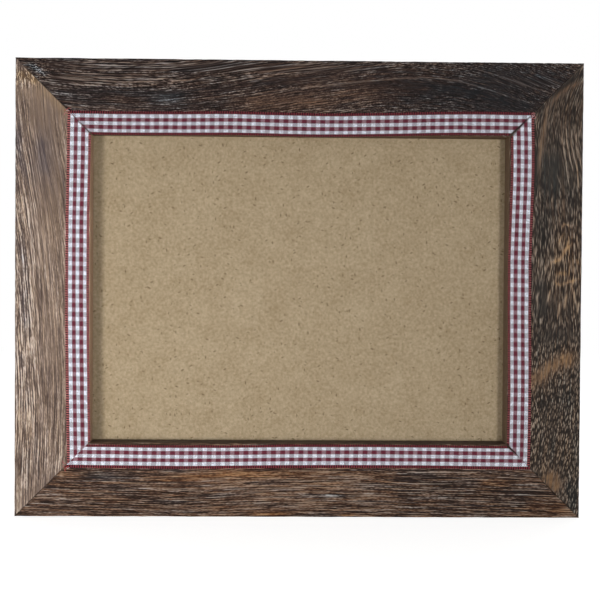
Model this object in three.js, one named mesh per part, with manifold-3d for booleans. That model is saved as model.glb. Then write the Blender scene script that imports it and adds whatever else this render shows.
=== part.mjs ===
// A wooden picture frame: four mitred rails with a ribbon round the sight edge, glass, a hardboard back
// held by turn buttons, a folding easel strut and a sawtooth wall hanger.
// Millimetres, +Z up. The front faces -Y. The origin is under the bottom rail, at its middle.
import * as THREE from "three";
import { mergeVertices } from "three/addons/utils/BufferGeometryUtils.js";
import Module from "manifold-3d";

const wasm = await Module();
wasm.setup();

// Picture, glass and board
const pictureWidth = 203.2; // an 8 inch by 6 inch print
const pictureHeight = 152.4;
const glassThickness = 2;
const printRoom = 0.3; // between the glass and the board
const boardThickness = 3;

// Rails
const railWidth = 34.5; // from the outer edge to the sight edge
const lipThickness = 10.7; // wood in front of the glass
const sightLap = 5; // how far the lip covers each edge of the picture
const rebateClearance = 0.5; // round the glass and the board
const mitreGap = 0.3;

// Ribbon on the face, with one edge along the sight edge
const ribbonWidth = 10.8;
const ribbonThickness = 0.4;
const ribbonMitreGap = 0.4;

// V-nails driven across each mitre from the back
const vNailLeg = 5;
const vNailGauge = 0.8;
const vNailDepth = 7;

// Turn buttons on the back, and their screws
const buttonSpread = 62; // each side of the middle, on the top and bottom rails
const buttonSetback = 8; // from the rebate to the pivot
const buttonReach = 20; // from the pivot to the tip
const buttonTail = 6; // from the pivot to the blunt end
const buttonWidth = 10;
const buttonGauge = 1.2;
const screwShankRadius = 1.5;
const screwHeadRadius = 3.3;
const screwHeadHeight = 2;
const screwGrip = 9; // length in the wood
const screwTip = 2.5;
const driveLength = 3.6; // the cross cut in a screw's head
const driveSlot = 0.8;
const driveDepth = 1;

// Easel strut and its hinge
const hingeDrop = 22; // from the board's top edge to the hinge pin
const leafGauge = 0.8;
const leafHeight = 16; // from the pin to the end of a leaf
const boardLeafWidth = 32;
const legLeafWidth = 26;
const middleKnuckle = 10; // length of the knuckle on the leg's leaf
const pinRadius = 0.8;
const pinProud = 0.6; // at each end
const barrelGap = 0.2; // from the knuckles to the board
const hingeScrewRadius = 1;
const hingeScrewHeadRadius = 2.2;
const hingeScrewHeadHeight = 0.9;
const hingeScrewInset = 6; // from a leaf's side edge
const hingeScrewSkin = 0.8; // board or leg left whole past a screw's point
const legThickness = 3;
const legTopWidth = 34;
const legFootWidth = 62;
const legLift = 2; // from the foot to the surface that the frame stands on
const legCornerRadius = 4;
const legArchWidth = 34; // the hollow between the two feet of the leg
const legArchHeight = 6;
const strutOpening = 35; // degrees, where the leg's leaf stops against the board's leaf
const stopGap = 0.1;

// Sawtooth hanger on the top rail, and its nails
const hangerSetback = 12; // from the frame's top edge to the hanger's middle
const hangerLength = 44;
const hangerHeight = 9;
const hangerGauge = 0.8;
const hangerFoot = 8; // flat length at each end
const hangerRamp = 3;
const hangerRise = 2.4; // room behind the toothed part
const toothPitch = 2;
const toothDepth = 1.4;
const toothFlat = 0.2; // left of the edge between two notches
const nailRadius = 0.7;
const nailHeadRadius = 1.9;
const nailHeadThickness = 0.6;
const nailGrip = 9;
const nailTip = 1.5;

// Clearances
const runningGap = 0.3; // between a moving piece and what it passes
const setGap = 0.3; // round metal that is set in wood
const cutPast = 1; // how far a hole's cutter runs past both faces

const roundSides = 16;
const arcSteps = 6;

// Places that follow from the sizes above
const sightWidth = pictureWidth - 2 * sightLap;
const sightHeight = pictureHeight - 2 * sightLap;
const frameWidth = sightWidth + 2 * railWidth;
const frameHeight = sightHeight + 2 * railWidth;
const rebateReach = sightLap + rebateClearance;
const rebateDepth = glassThickness + printRoom + boardThickness;
const railThickness = lipThickness + rebateDepth;
const frontFace = -railThickness / 2;
const backFace = railThickness / 2;
const glassFront = frontFace + lipThickness;
const boardFront = backFace - boardThickness;
const landWidth = railWidth - rebateReach; // flat wood on the back, outside the rebate
const boardTop = (frameHeight + pictureHeight) / 2;
const hingeHeight = boardTop - hingeDrop;

// Finishes
const finish = (color, roughness, metalness = 0) => {
  return new THREE.MeshStandardMaterial({ color, roughness, metalness });
};
const railFinish = {
  top: finish(0x3d3532, 0.75),
  right: finish(0x4b413a, 0.72),
  bottom: finish(0x59483e, 0.72),
  left: finish(0x87756a, 0.75),
};
const ribbonFinish = finish(0xb49aa4, 0.85);
const glassFinish = new THREE.MeshStandardMaterial({
  color: 0xe6efec,
  roughness: 0.05,
  transparent: true,
  opacity: 0.25,
});
const boardFinish = finish(0xa08e73, 0.8);
const zincFinish = finish(0xb4b8bc, 0.35, 1);
const steelFinish = finish(0x8d9094, 0.4, 1);
const brassFinish = finish(0xb59a5a, 0.35, 1);

// Solids
function solid(geometry) {
  geometry.deleteAttribute("normal");
  geometry.deleteAttribute("uv");
  const merged = mergeVertices(geometry, 1e-4);
  const vertProperties = merged.attributes.position.array;
  const triVerts = new Uint32Array(merged.index.array);
  return new wasm.Manifold(new wasm.Mesh({ numProp: 3, vertProperties, triVerts }));
}

function cut(body, cutters) {
  return cutters.reduce((left, cutter) => left.subtract(cutter), body);
}

function named(name, body, material) {
  const { vertProperties, triVerts } = body.getMesh();
  const geometry = new THREE.BufferGeometry();
  geometry.setAttribute("position", new THREE.BufferAttribute(vertProperties, 3));
  geometry.setIndex(new THREE.BufferAttribute(triVerts, 1));
  geometry.computeVertexNormals();
  const mesh = new THREE.Mesh(geometry, material);
  mesh.name = name;
  return mesh;
}

// A box between two corners
function block([x0, y0, z0], [x1, y1, z1]) {
  const box = new THREE.BoxGeometry(x1 - x0, y1 - y0, z1 - z0);
  return solid(box.translate((x0 + x1) / 2, (y0 + y1) / 2, (z0 + z1) / 2));
}

// A round bar along Y, standing at (x, z)
function bar(radius, y0, y1, x, z) {
  const cylinder = new THREE.CylinderGeometry(radius, radius, y1 - y0, roundSides);
  return solid(cylinder.translate(x, (y0 + y1) / 2, z));
}

// A round bar along X, on the line y, z = 0
function crossBar(radius, x0, x1, y) {
  const cylinder = new THREE.CylinderGeometry(radius, radius, x1 - x0, roundSides);
  return solid(cylinder.rotateZ(Math.PI / 2).translate((x0 + x1) / 2, y, 0));
}

// An outline drawn in the plane of the frame, x across and y up, from y0 to y1 in depth
const flatInFrame = new THREE.Matrix4().makeBasis(
  new THREE.Vector3(1, 0, 0),
  new THREE.Vector3(0, 0, 1),
  new THREE.Vector3(0, -1, 0),
);
function plate(outline, y0, y1) {
  const options = { depth: y1 - y0, bevelEnabled: false, curveSegments: arcSteps };
  const geometry = new THREE.ExtrudeGeometry(outline, options);
  return solid(geometry.applyMatrix4(flatInFrame).translate(0, y1, 0));
}

function polygon(points) {
  return new THREE.Shape(points.map(([x, y]) => new THREE.Vector2(x, y)));
}

// A pin turned about Y with its head's underside at y: point, shank, then a domed head.
// The dome's rim, shoulder and crown are shares of the head's own radius and height.
const dome = { rimHeight: 0.4, shoulderRadius: 0.8, shoulderHeight: 0.8, crownRadius: 0.45 };
function headedPin({ shankRadius, grip, tip, headRadius, headHeight, x, z, y }) {
  const profile = [
    [0, -grip],
    [shankRadius, tip - grip],
    [shankRadius, 0],
    [headRadius, 0],
    [headRadius, headHeight * dome.rimHeight],
    [headRadius * dome.shoulderRadius, headHeight * dome.shoulderHeight],
    [headRadius * dome.crownRadius, headHeight],
    [0, headHeight],
  ];
  const points = profile.map(([radius, height]) => new THREE.Vector2(radius, height));
  return solid(new THREE.LatheGeometry(points, roundSides).translate(x, y, z));
}

// The cross cut in a screw's head, whose top is at y
function crossDrive(x, y, z) {
  const half = driveLength / 2;
  const slot = driveSlot / 2;
  const along = block([x - half, y - driveDepth, z - slot], [x + half, y + driveDepth, z + slot]);
  const across = block([x - slot, y - driveDepth, z - half], [x + slot, y + driveDepth, z + half]);
  return along.add(across);
}

// Each side is built as the bottom one: x along the rail, z from its outer edge inwards
const sides = [
  { name: "bottom", length: frameWidth, turn: 0, place: [0, 0, 0] },
  { name: "right", length: frameHeight, turn: -90, place: [frameWidth / 2, 0, frameHeight / 2] },
  { name: "top", length: frameWidth, turn: 180, place: [0, 0, frameHeight] },
  { name: "left", length: frameHeight, turn: 90, place: [-frameWidth / 2, 0, frameHeight / 2] },
];
const buttonPlaces = {
  bottom: [["bottom_left", -buttonSpread], ["bottom_right", buttonSpread]],
  right: [["right", 0]],
  top: [["top_right", -buttonSpread], ["top_left", buttonSpread]],
  left: [["left", 0]],
};
const pivotLine = landWidth - buttonSetback; // from the outer edge to the buttons' pivots

// A strip between two distances from the outer edge, with both ends mitred
function mitredStrip(length, outer, inner, gap, y0, y1) {
  const pullBack = gap / Math.SQRT2;
  const reachAt = (distance) => length / 2 - distance - pullBack;
  const outline = polygon([
    [-reachAt(outer), outer],
    [reachAt(outer), outer],
    [reachAt(inner), inner],
    [-reachAt(inner), inner],
  ]);
  return plate(outline, y0, y1);
}

// A V-nail's outline from the frame's outer corner: its legs run along the two rails
const vNailPlaces = { outer: landWidth / 3, inner: (landWidth * 2) / 3 };
function vNailOutline(apex, spare, flip = (x, z) => [x, z]) {
  const low = apex - vNailGauge / 2 - spare;
  const high = apex + vNailGauge / 2 + spare;
  const end = apex + vNailLeg + spare;
  const points = [[low, low], [end, low], [end, high], [high, high], [high, end], [low, end]];
  return polygon(points.map(([x, z]) => flip(x, z)));
}

function railCuts(side) {
  const cuts = [];
  for (const apex of Object.values(vNailPlaces)) {
    for (const end of [-1, 1]) {
      const flip = (x, z) => [end * (side.length / 2 - x), z];
      const floor = backFace - vNailDepth - setGap;
      cuts.push(plate(vNailOutline(apex, setGap, flip), floor, backFace + setGap));
    }
  }
  for (const [, along] of buttonPlaces[side.name]) {
    const floor = backFace - screwGrip - setGap;
    cuts.push(bar(screwShankRadius + setGap, floor, backFace + setGap, along, pivotLine));
  }
  if (side.name === "top") {
    for (const along of nailLine) {
      const floor = backFace - nailGrip - setGap;
      cuts.push(bar(nailRadius + setGap, floor, backFace + setGap, along, hangerSetback));
    }
  }
  return cuts;
}

function rail(side) {
  const strip = mitredStrip(side.length, 0, railWidth, mitreGap, frontFace, backFace);
  const rebate = block(
    [-side.length / 2, glassFront, landWidth],
    [side.length / 2, backFace + setGap, railWidth + setGap],
  );
  return cut(strip, [rebate, ...railCuts(side)]);
}

function ribbon(side) {
  const outer = railWidth - ribbonWidth;
  return mitredStrip(side.length, outer, railWidth, ribbonMitreGap, frontFace - ribbonThickness, frontFace);
}

// A turn button is a plate with round ends, from its tail past the pivot to its tip
const buttonFront = backFace + runningGap;
const buttonBack = buttonFront + buttonGauge;
function turnButton(along) {
  const round = buttonWidth / 2;
  const outline = new THREE.Shape();
  outline.absarc(along, pivotLine - buttonTail + round, round, Math.PI, 2 * Math.PI);
  outline.absarc(along, pivotLine + buttonReach - round, round, 0, Math.PI);
  outline.closePath();
  const boreRadius = screwShankRadius + runningGap;
  const bore = bar(boreRadius, buttonFront - cutPast, buttonBack + cutPast, along, pivotLine);
  return plate(outline, buttonFront, buttonBack).subtract(bore);
}

function buttonScrew(along) {
  const seat = buttonBack + runningGap;
  const screw = headedPin({
    shankRadius: screwShankRadius,
    grip: screwGrip + seat - backFace,
    tip: screwTip,
    headRadius: screwHeadRadius,
    headHeight: screwHeadHeight,
    x: along,
    y: seat,
    z: pivotLine,
  });
  return screw.subtract(crossDrive(along, seat + screwHeadHeight, pivotLine));
}

// The hanger is a strip whose middle stands off the rail, toothed along its lower edge
const nailLine = [hangerFoot - hangerLength, hangerLength - hangerFoot].map((reach) => reach / 2);
function sawtoothHanger() {
  const end = hangerLength / 2;
  const foot = end - hangerFoot;
  const crown = foot - hangerRamp;
  const top = [[-end, 0], [-foot, 0], [-crown, hangerRise], [crown, hangerRise], [foot, 0], [end, 0]];
  const back = top.map(([x, y]) => [x, y + hangerGauge]).reverse();
  const options = { depth: hangerHeight, bevelEnabled: false };
  const strip = new THREE.ExtrudeGeometry(polygon([...top, ...back]), options);
  const lowerEdge = hangerSetback + hangerHeight / 2;
  const body = solid(strip.translate(0, backFace, lowerEdge - hangerHeight));
  const past = backFace + hangerRise + hangerGauge + cutPast;
  const cuts = nailLine.map((along) => {
    return bar(nailRadius + setGap, backFace - cutPast, past, along, hangerSetback);
  });
  const notches = Math.floor(crown / toothPitch);
  for (let notch = -notches; notch <= notches; notch += 1) {
    const middle = notch * toothPitch;
    const halfNotch = (toothPitch - toothFlat) / 2;
    const tooth = polygon([
      [middle, lowerEdge - toothDepth],
      [middle + halfNotch, lowerEdge + setGap],
      [middle - halfNotch, lowerEdge + setGap],
    ]);
    cuts.push(plate(tooth, backFace + hangerRise / 2, past));
  }
  return cut(body, cuts);
}

function hangerNail(along) {
  return headedPin({
    shankRadius: nailRadius,
    grip: nailGrip + hangerGauge,
    tip: nailTip,
    headRadius: nailHeadRadius,
    headHeight: nailHeadThickness,
    x: along,
    y: backFace + hangerGauge,
    z: hangerSetback,
  });
}

// The strut is built from the hinge pin's height, with y = 0 on the back of the board
const pinStandOff = (runningGap + legThickness + leafGauge) / 2;
const barrelRadius = pinStandOff - barrelGap;
const pinBoreRadius = pinRadius + runningGap;
const leafStart = barrelRadius + runningGap; // the leaves' full width starts past the knuckles
const legFace = runningGap + legThickness; // the leg's back, which its leaf lies on
const legLeafBack = legFace + leafGauge;
const hingeScrewLine = (leafStart + leafHeight) / 2;
const boardScrewSpots = [-1, 1].map((side) => side * (boardLeafWidth / 2 - hingeScrewInset));
const legScrewSpots = [-1, 1].map((side) => side * (legLeafWidth / 2 - hingeScrewInset));
const boardScrewGrip = boardThickness - hingeScrewSkin;
const legScrewGrip = legThickness - hingeScrewSkin;

function pinBore() {
  return crossBar(pinBoreRadius, -boardLeafWidth, boardLeafWidth, pinStandOff);
}

function boardLeaf() {
  const half = boardLeafWidth / 2;
  const inside = middleKnuckle / 2 + runningGap;
  let leaf = block([-half, 0, leafStart], [half, leafGauge, leafHeight]);
  for (const [x0, x1] of [[-half, -inside], [inside, half]]) {
    leaf = leaf.add(block([x0, 0, 0], [x1, leafGauge, leafStart]));
    leaf = leaf.add(crossBar(barrelRadius, x0, x1, pinStandOff));
  }
  const holes = boardScrewSpots.map((x) => {
    return bar(hingeScrewRadius + setGap, -cutPast, leafGauge + cutPast, x, hingeScrewLine);
  });
  return cut(leaf, [pinBore(), ...holes]);
}

// The tongue above the leg leaf's knuckle stops on the board's leaf when the strut is open
function legLeaf() {
  const half = legLeafWidth / 2;
  const knuckle = middleKnuckle / 2;
  const opening = THREE.MathUtils.degToRad(strutOpening);
  const faceToPin = pinStandOff - leafGauge;
  const tongue = (faceToPin * Math.cos(opening) + faceToPin - stopGap) / Math.sin(opening);
  const leaf = block([-half, legFace, -leafHeight], [half, legLeafBack, -leafStart])
    .add(block([-knuckle, legFace, -leafStart], [knuckle, legLeafBack, tongue]))
    .add(crossBar(barrelRadius, -knuckle, knuckle, pinStandOff));
  const holes = legScrewSpots.map((x) => {
    return bar(hingeScrewRadius + setGap, legFace - cutPast, legLeafBack + cutPast, x, -hingeScrewLine);
  });
  return cut(leaf, [pinBore(), ...holes]);
}

function hingeScrew(x, y, z, grip) {
  return headedPin({
    shankRadius: hingeScrewRadius,
    grip: grip + leafGauge,
    tip: hingeScrewRadius,
    headRadius: hingeScrewHeadRadius,
    headHeight: hingeScrewHeadHeight,
    x,
    y,
    z,
  });
}

function strutLeg() {
  const top = -leafStart;
  const foot = legLift - hingeHeight;
  const topHalf = legTopWidth / 2;
  const footHalf = legFootWidth / 2;
  const archHalf = legArchWidth / 2;
  const round = legCornerRadius;
  const outline = new THREE.Shape();
  outline.moveTo(-topHalf, top);
  outline.lineTo(-footHalf, foot + round);
  outline.quadraticCurveTo(-footHalf, foot, -footHalf + round, foot);
  outline.lineTo(-archHalf, foot);
  outline.quadraticCurveTo(0, foot + 2 * legArchHeight, archHalf, foot);
  outline.lineTo(footHalf - round, foot);
  outline.quadraticCurveTo(footHalf, foot, footHalf, foot + round);
  outline.lineTo(topHalf, top);
  outline.closePath();
  const floor = legFace - legScrewGrip - setGap;
  const holes = legScrewSpots.map((x) => {
    return bar(hingeScrewRadius + setGap, floor, legFace + setGap, x, -hingeScrewLine);
  });
  return cut(plate(outline, runningGap, legFace), holes);
}

function hingePin() {
  const end = boardLeafWidth / 2 + pinProud;
  return crossBar(pinRadius, -end, end, pinStandOff);
}

function glassPane() {
  return block(
    [-pictureWidth / 2, glassFront, (frameHeight - pictureHeight) / 2],
    [pictureWidth / 2, glassFront + glassThickness, boardTop],
  );
}

function backingBoard() {
  const board = block(
    [-pictureWidth / 2, boardFront, (frameHeight - pictureHeight) / 2],
    [pictureWidth / 2, backFace, boardTop],
  );
  const floor = backFace - boardScrewGrip - setGap;
  const holes = boardScrewSpots.map((x) => {
    return bar(hingeScrewRadius + setGap, floor, backFace + setGap, x, hingeHeight + hingeScrewLine);
  });
  return cut(board, holes);
}

const pictureFrame = new THREE.Group();

for (const side of sides) {
  const group = new THREE.Group();
  group.position.set(...side.place);
  group.rotation.y = THREE.MathUtils.degToRad(side.turn);
  group.add(named(`${side.name}_rail`, rail(side), railFinish[side.name]));
  group.add(named(`ribbon_${side.name}`, ribbon(side), ribbonFinish));
  for (const [place, along] of buttonPlaces[side.name]) {
    group.add(named(`turn_button_${place}`, turnButton(along), zincFinish));
    group.add(named(`button_screw_${place}`, buttonScrew(along), steelFinish));
  }
  if (side.name === "top") {
    group.add(named("sawtooth_hanger", sawtoothHanger(), zincFinish));
    group.add(named("hanger_nail_right", hangerNail(nailLine[0]), steelFinish));
    group.add(named("hanger_nail_left", hangerNail(nailLine[1]), steelFinish));
  }
  pictureFrame.add(group);
}

// Each corner is built as the bottom left one
const corners = [
  { name: "bottom_left", turn: 0, place: [-frameWidth / 2, 0, 0] },
  { name: "bottom_right", turn: -90, place: [frameWidth / 2, 0, 0] },
  { name: "top_right", turn: 180, place: [frameWidth / 2, 0, frameHeight] },
  { name: "top_left", turn: 90, place: [-frameWidth / 2, 0, frameHeight] },
];
for (const corner of corners) {
  const group = new THREE.Group();
  group.position.set(...corner.place);
  group.rotation.y = THREE.MathUtils.degToRad(corner.turn);
  for (const [place, apex] of Object.entries(vNailPlaces)) {
    const nail = plate(vNailOutline(apex, 0), backFace - vNailDepth, backFace);
    group.add(named(`v_nail_${corner.name}_${place}`, nail, steelFinish));
  }
  pictureFrame.add(group);
}

pictureFrame.add(named("glass_pane", glassPane(), glassFinish));
pictureFrame.add(named("backing_board", backingBoard(), boardFinish));

const strut = new THREE.Group();
strut.position.set(0, backFace, hingeHeight);
strut.add(named("strut_leg", strutLeg(), boardFinish));
strut.add(named("hinge_board_leaf", boardLeaf(), brassFinish));
strut.add(named("hinge_leg_leaf", legLeaf(), brassFinish));
strut.add(named("hinge_pin", hingePin(), steelFinish));
["left", "right"].forEach((hand, index) => {
  const boardScrew = hingeScrew(boardScrewSpots[index], leafGauge, hingeScrewLine, boardScrewGrip);
  const legScrew = hingeScrew(legScrewSpots[index], legLeafBack, -hingeScrewLine, legScrewGrip);
  strut.add(named(`hinge_board_screw_${hand}`, boardScrew, brassFinish));
  strut.add(named(`hinge_leg_screw_${hand}`, legScrew, brassFinish));
});
pictureFrame.add(strut);

export default pictureFrame;
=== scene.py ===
import math
from functools import partial

import bmesh
import bpy
import numpy as np
from mathutils import Matrix, Vector


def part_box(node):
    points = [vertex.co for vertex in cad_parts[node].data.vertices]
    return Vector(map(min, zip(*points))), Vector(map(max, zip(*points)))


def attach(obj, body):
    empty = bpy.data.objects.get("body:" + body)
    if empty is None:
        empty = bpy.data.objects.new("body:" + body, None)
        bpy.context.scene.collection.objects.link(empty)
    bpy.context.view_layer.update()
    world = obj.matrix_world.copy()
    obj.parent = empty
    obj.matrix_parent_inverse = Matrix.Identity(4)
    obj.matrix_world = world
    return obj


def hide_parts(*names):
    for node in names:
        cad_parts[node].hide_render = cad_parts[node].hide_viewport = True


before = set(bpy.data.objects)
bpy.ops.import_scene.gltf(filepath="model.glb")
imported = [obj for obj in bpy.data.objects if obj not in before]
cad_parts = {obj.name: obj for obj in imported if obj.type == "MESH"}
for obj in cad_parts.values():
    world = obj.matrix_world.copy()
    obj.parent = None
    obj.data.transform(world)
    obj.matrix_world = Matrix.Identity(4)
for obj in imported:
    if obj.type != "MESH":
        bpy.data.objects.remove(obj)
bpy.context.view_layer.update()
scene = bpy.context.scene
millimetre = 0.001
print("frame loaded,", len(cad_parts), "nodes")


def linear(hexCode):
    # sRGB hex to the linear colour that a shader socket takes
    channels = [int(hexCode[i:i + 2], 16) / 255 for i in (1, 3, 5)]
    return tuple(c / 12.92 if c <= 0.04045 else ((c + 0.055) / 1.055) ** 2.4 for c in channels) + (1.0,)


white, black = linear("#ffffff"), linear("#000000")
blend = {"data_type": "RGBA"}                      # node settings that come up often
eased = {"interpolation_type": "SMOOTHSTEP"}


def wire(node, inputs):
    # a node among the inputs is linked by its first live output, a socket is linked, anything else is set
    for key, value in inputs.items():
        if isinstance(value, bpy.types.Node):
            value = next(socket for socket in value.outputs if socket.enabled)
        if isinstance(value, bpy.types.NodeSocket):
            node.id_data.links.new(value, node.inputs[key])
        else:
            node.inputs[key].default_value = value


def addNode(tree, kind, inputs=None, stops=(), **settings):
    # stops are the places and hex colours of a colour ramp
    node = tree.nodes.new("ShaderNode" + kind)
    for name, value in settings.items():
        setattr(node, name, value)
    if stops:
        elements = node.color_ramp.elements
        while len(elements) < len(stops):
            elements.new(1.0)
        for element, (place, colour) in zip(elements, stops):
            element.position = place
            element.color = linear(colour)
    wire(node, inputs or {})
    return node


def startMaterial(name):
    # the material, what adds a node to it, and its shader
    material = bpy.data.materials.new(name)
    material.use_nodes = True
    tree = material.node_tree
    return material, partial(addNode, tree), tree.nodes["Principled BSDF"]


def nodeBox(node):
    # a CAD node's low and high corner in millimetres
    low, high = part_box(node)
    return np.array(low) / millimetre, np.array(high) / millimetre


def latticeNoise(x, y, seed):
    # smooth noise from -1 to 1, one bump to a unit square
    x0 = np.floor(x).astype(np.int64)
    y0 = np.floor(y).astype(np.int64)
    fx = x - x0
    fy = y - y0
    fx = fx * fx * (3 - 2 * fx)
    fy = fy * fy * (3 - 2 * fy)

    def corner(i, j):
        # a corner's place and the seed, scrambled by large odd factors
        h = ((x0 + i) * 374761393 + (y0 + j) * 668265263 + seed * 974634777) & 0xFFFFFFFF
        h = ((h ^ (h >> 13)) * 1274126177) & 0xFFFFFFFF
        h = ((h ^ (h >> 16)) * 2246822519) & 0xFFFFFFFF
        return (h ^ (h >> 15)) / 0x7FFFFFFF - 1.0

    low = corner(0, 0) * (1 - fx) + corner(1, 0) * fx
    high = corner(0, 1) * (1 - fx) + corner(1, 1) * fx
    return low * (1 - fy) + high * fy


def layeredNoise(x, y, layers, seed):
    # a sum of noises; each layer is the length and width of a bump in mm, and its gain
    return sum(latticeNoise(x / length, y / width, seed + i) * gain
               for i, (length, width, gain) in enumerate(layers))


def curveThrough(points, at):
    # a smooth curve through given (along, offset) points
    along = np.array([p[0] for p in points], float)
    offset = np.array([p[1] for p in points], float)
    slope = np.gradient(offset, along)
    i = np.clip(np.searchsorted(along, at) - 1, 0, len(along) - 2)
    span = along[i + 1] - along[i]
    t = np.clip((at - along[i]) / span, 0, 1)
    return ((2 * t ** 3 - 3 * t ** 2 + 1) * offset[i] + (t ** 3 - 2 * t ** 2 + t) * span * slope[i]
            + (3 * t ** 2 - 2 * t ** 3) * offset[i + 1] + (t ** 3 - t ** 2) * span * slope[i + 1])


def tubeFaces(rings, sides, base=0):
    # quads along a tube of rings laid one after another, and a cap at each end
    index = base + np.arange(rings * sides).reshape(rings, sides)
    following = np.roll(index, -1, 1)
    quads = np.stack((index[:-1], index[1:], following[1:], following[:-1]), 2).reshape(-1, 4)
    return quads.tolist() + [index[0].tolist(), index[-1].tolist()]


def finishPiece(mesh, work, material, body, smoothAngle, node):
    # turns the faces outward, smooths and dresses them, and gives the piece to its body
    bmesh.ops.recalc_face_normals(work, faces=work.faces)
    work.to_mesh(mesh)
    work.free()
    mesh.shade_smooth()
    mesh.set_sharp_from_angle(angle=math.radians(smoothAngle))
    mesh.materials.append(material)
    piece = bpy.data.objects.new(mesh.name, mesh)
    scene.collection.objects.link(piece)
    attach(piece, body)
    if node:
        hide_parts(node)
    return piece


def makePiece(name, points, faces, material, smoothAngle, node=None):
    # a piece of the frame body, its points in millimetres
    mesh = bpy.data.meshes.new(name)
    mesh.from_pydata((np.asarray(points) * millimetre).tolist(), [], faces)
    work = bmesh.new()
    work.from_mesh(mesh)
    return finishPiece(mesh, work, material, "frame", smoothAngle, node)


def storeVectors(piece, name, x, y, z, layers=1):
    # one vector to a point, alike in every layer of points
    values = np.stack(np.broadcast_arrays(x, y, z), -1).reshape(-1, 3)
    values = np.ascontiguousarray(np.tile(values, (layers, 1)), np.float32)
    attribute = piece.data.attributes.new(name, "FLOAT_VECTOR", "POINT")
    attribute.data.foreach_set("vector", values.ravel())


# Camera, at the photograph's place and angle
cameraView = {
    "position": (-12.38, -593.01, 112.83),  # mm
    "yaw": 1.237,                           # degrees
    "pitch": -1.172,
    "roll": 0.407,
    "focal": 1265.7,                        # pixels of a square image
    "imageWidth": 600,
    "sensor": 36.0,                         # mm
    "nearest": 10.0,                        # mm, where the view starts
}
yaw, pitch, roll = (math.radians(cameraView[k]) for k in ("yaw", "pitch", "roll"))
forward = Vector((math.sin(yaw) * math.cos(pitch), math.cos(yaw) * math.cos(pitch), math.sin(pitch)))
level = Vector((math.cos(yaw), -math.sin(yaw), 0))
upright = level.cross(forward)
right = level * math.cos(roll) + upright * math.sin(roll)
up = upright * math.cos(roll) - level * math.sin(roll)
cameraData = bpy.data.cameras.new("photo_view")
cameraData.sensor_width = cameraView["sensor"]
cameraData.lens = cameraView["focal"] * cameraView["sensor"] / cameraView["imageWidth"]
cameraData.clip_start = cameraView["nearest"] * millimetre
camera = bpy.data.objects.new("photo_view", cameraData)
turn = Matrix((right, up, -forward)).transposed().to_4x4()
camera.matrix_world = Matrix.Translation(Vector(cameraView["position"]) * millimetre) @ turn
scene.collection.objects.link(camera)
scene.camera = camera
scene.view_settings.view_transform = "Standard"
print("camera placed")


# Studio: two soft boxes in front, one behind, a white surround and a pale floor
studio = {
    "frontFill": 0.18,        # the surround's light on the object, from in front and from behind
    "backFill": 0.85,
    "fillTurn": (-0.05, 0.6),    # where one gives way to the other, from -1 in front to 1 behind
    "frontDim": 0.05,         # what glass and metal see straight in front, as before a dark card
    "dimTurn": (-0.75, -0.35),   # where that gives way to white
    "floorSize": 14.0,        # m across
    "floorColour": "#e4e3e1",
    "seenColour": "#b4b3b1",  # the floor's share of the studio light that the camera sees
    "floorGlow": 0.87,        # lifts that to white, and leaves the shadow in it
    "floorPatch": 1 / 30,     # m across a patch that the roller left
    "floorRough": (0.88, 0.94),
    "fade": (0.45, 1.3),      # m from the object, where the floor fades into the surround
    "boxes": {                # place, aim and size in m, watts
        "key_box": ((-0.195, -0.30, 0.035), (0, 0, 0.09), (0.065, 0.065), 0.47),
        "side_box": ((0.30, -1.20, 0.08), (0, 0, 0.05), (0.13, 0.15), 4.0),
        "rear_box": ((0.5, 1.0, 0.9), (0, 0, 0.10), (0.7, 0.7), 3.0),
    },
}
for name, (at, aim, size, watts) in studio["boxes"].items():
    lampData = bpy.data.lights.new(name, "AREA")
    lampData.shape = "RECTANGLE"
    lampData.size, lampData.size_y = size
    lampData.energy = watts
    lamp = bpy.data.objects.new(name, lampData)
    lamp.location = at
    lamp.rotation_euler = (Vector(aim) - Vector(at)).to_track_quat("-Z", "Y").to_euler()
    lamp.visible_camera = False
    lamp.visible_glossy = name == "rear_box"       # the front boxes stay out of the glass
    lamp.visible_transmission = lamp.visible_glossy
    scene.collection.objects.link(lamp)

world = bpy.data.worlds.new("white_surround")
world.use_nodes = True
scene.world = world
add = partial(addNode, world.node_tree)
paths = add("LightPath").outputs
# a mirrored ray sees the dim front, unless it was scattered before; all other light is fill
mirrored = add("Math", {0: paths["Is Glossy Ray"], 1: paths["Is Transmission Ray"]}, operation="MAXIMUM")
unscattered = add("Math", {0: paths["Diffuse Depth"], 1: 0.5}, operation="LESS_THAN")
mirrored = add("Math", {0: mirrored, 1: unscattered}, operation="MULTIPLY")
direction = add("SeparateXYZ", {0: add("TexCoord").outputs["Generated"]}).outputs["Y"]
levels = []
for turnsAt, inFront, behind in ((studio["fillTurn"], studio["frontFill"], studio["backFill"]),
                                 (studio["dimTurn"], studio["frontDim"], 1.0)):
    levels.append(add("MapRange", {
        0: direction, 1: turnsAt[0], 2: turnsAt[1], 3: inFront, 4: behind}, **eased))
mirrorLevel = add("Mix", {0: mirrored, 2: levels[0], 3: levels[1]})
skyLevel = add("Mix", {0: paths["Is Camera Ray"], 2: mirrorLevel, 3: 1.0})
wire(world.node_tree.nodes["Background"], {"Color": white, "Strength": skyLevel})

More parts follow.
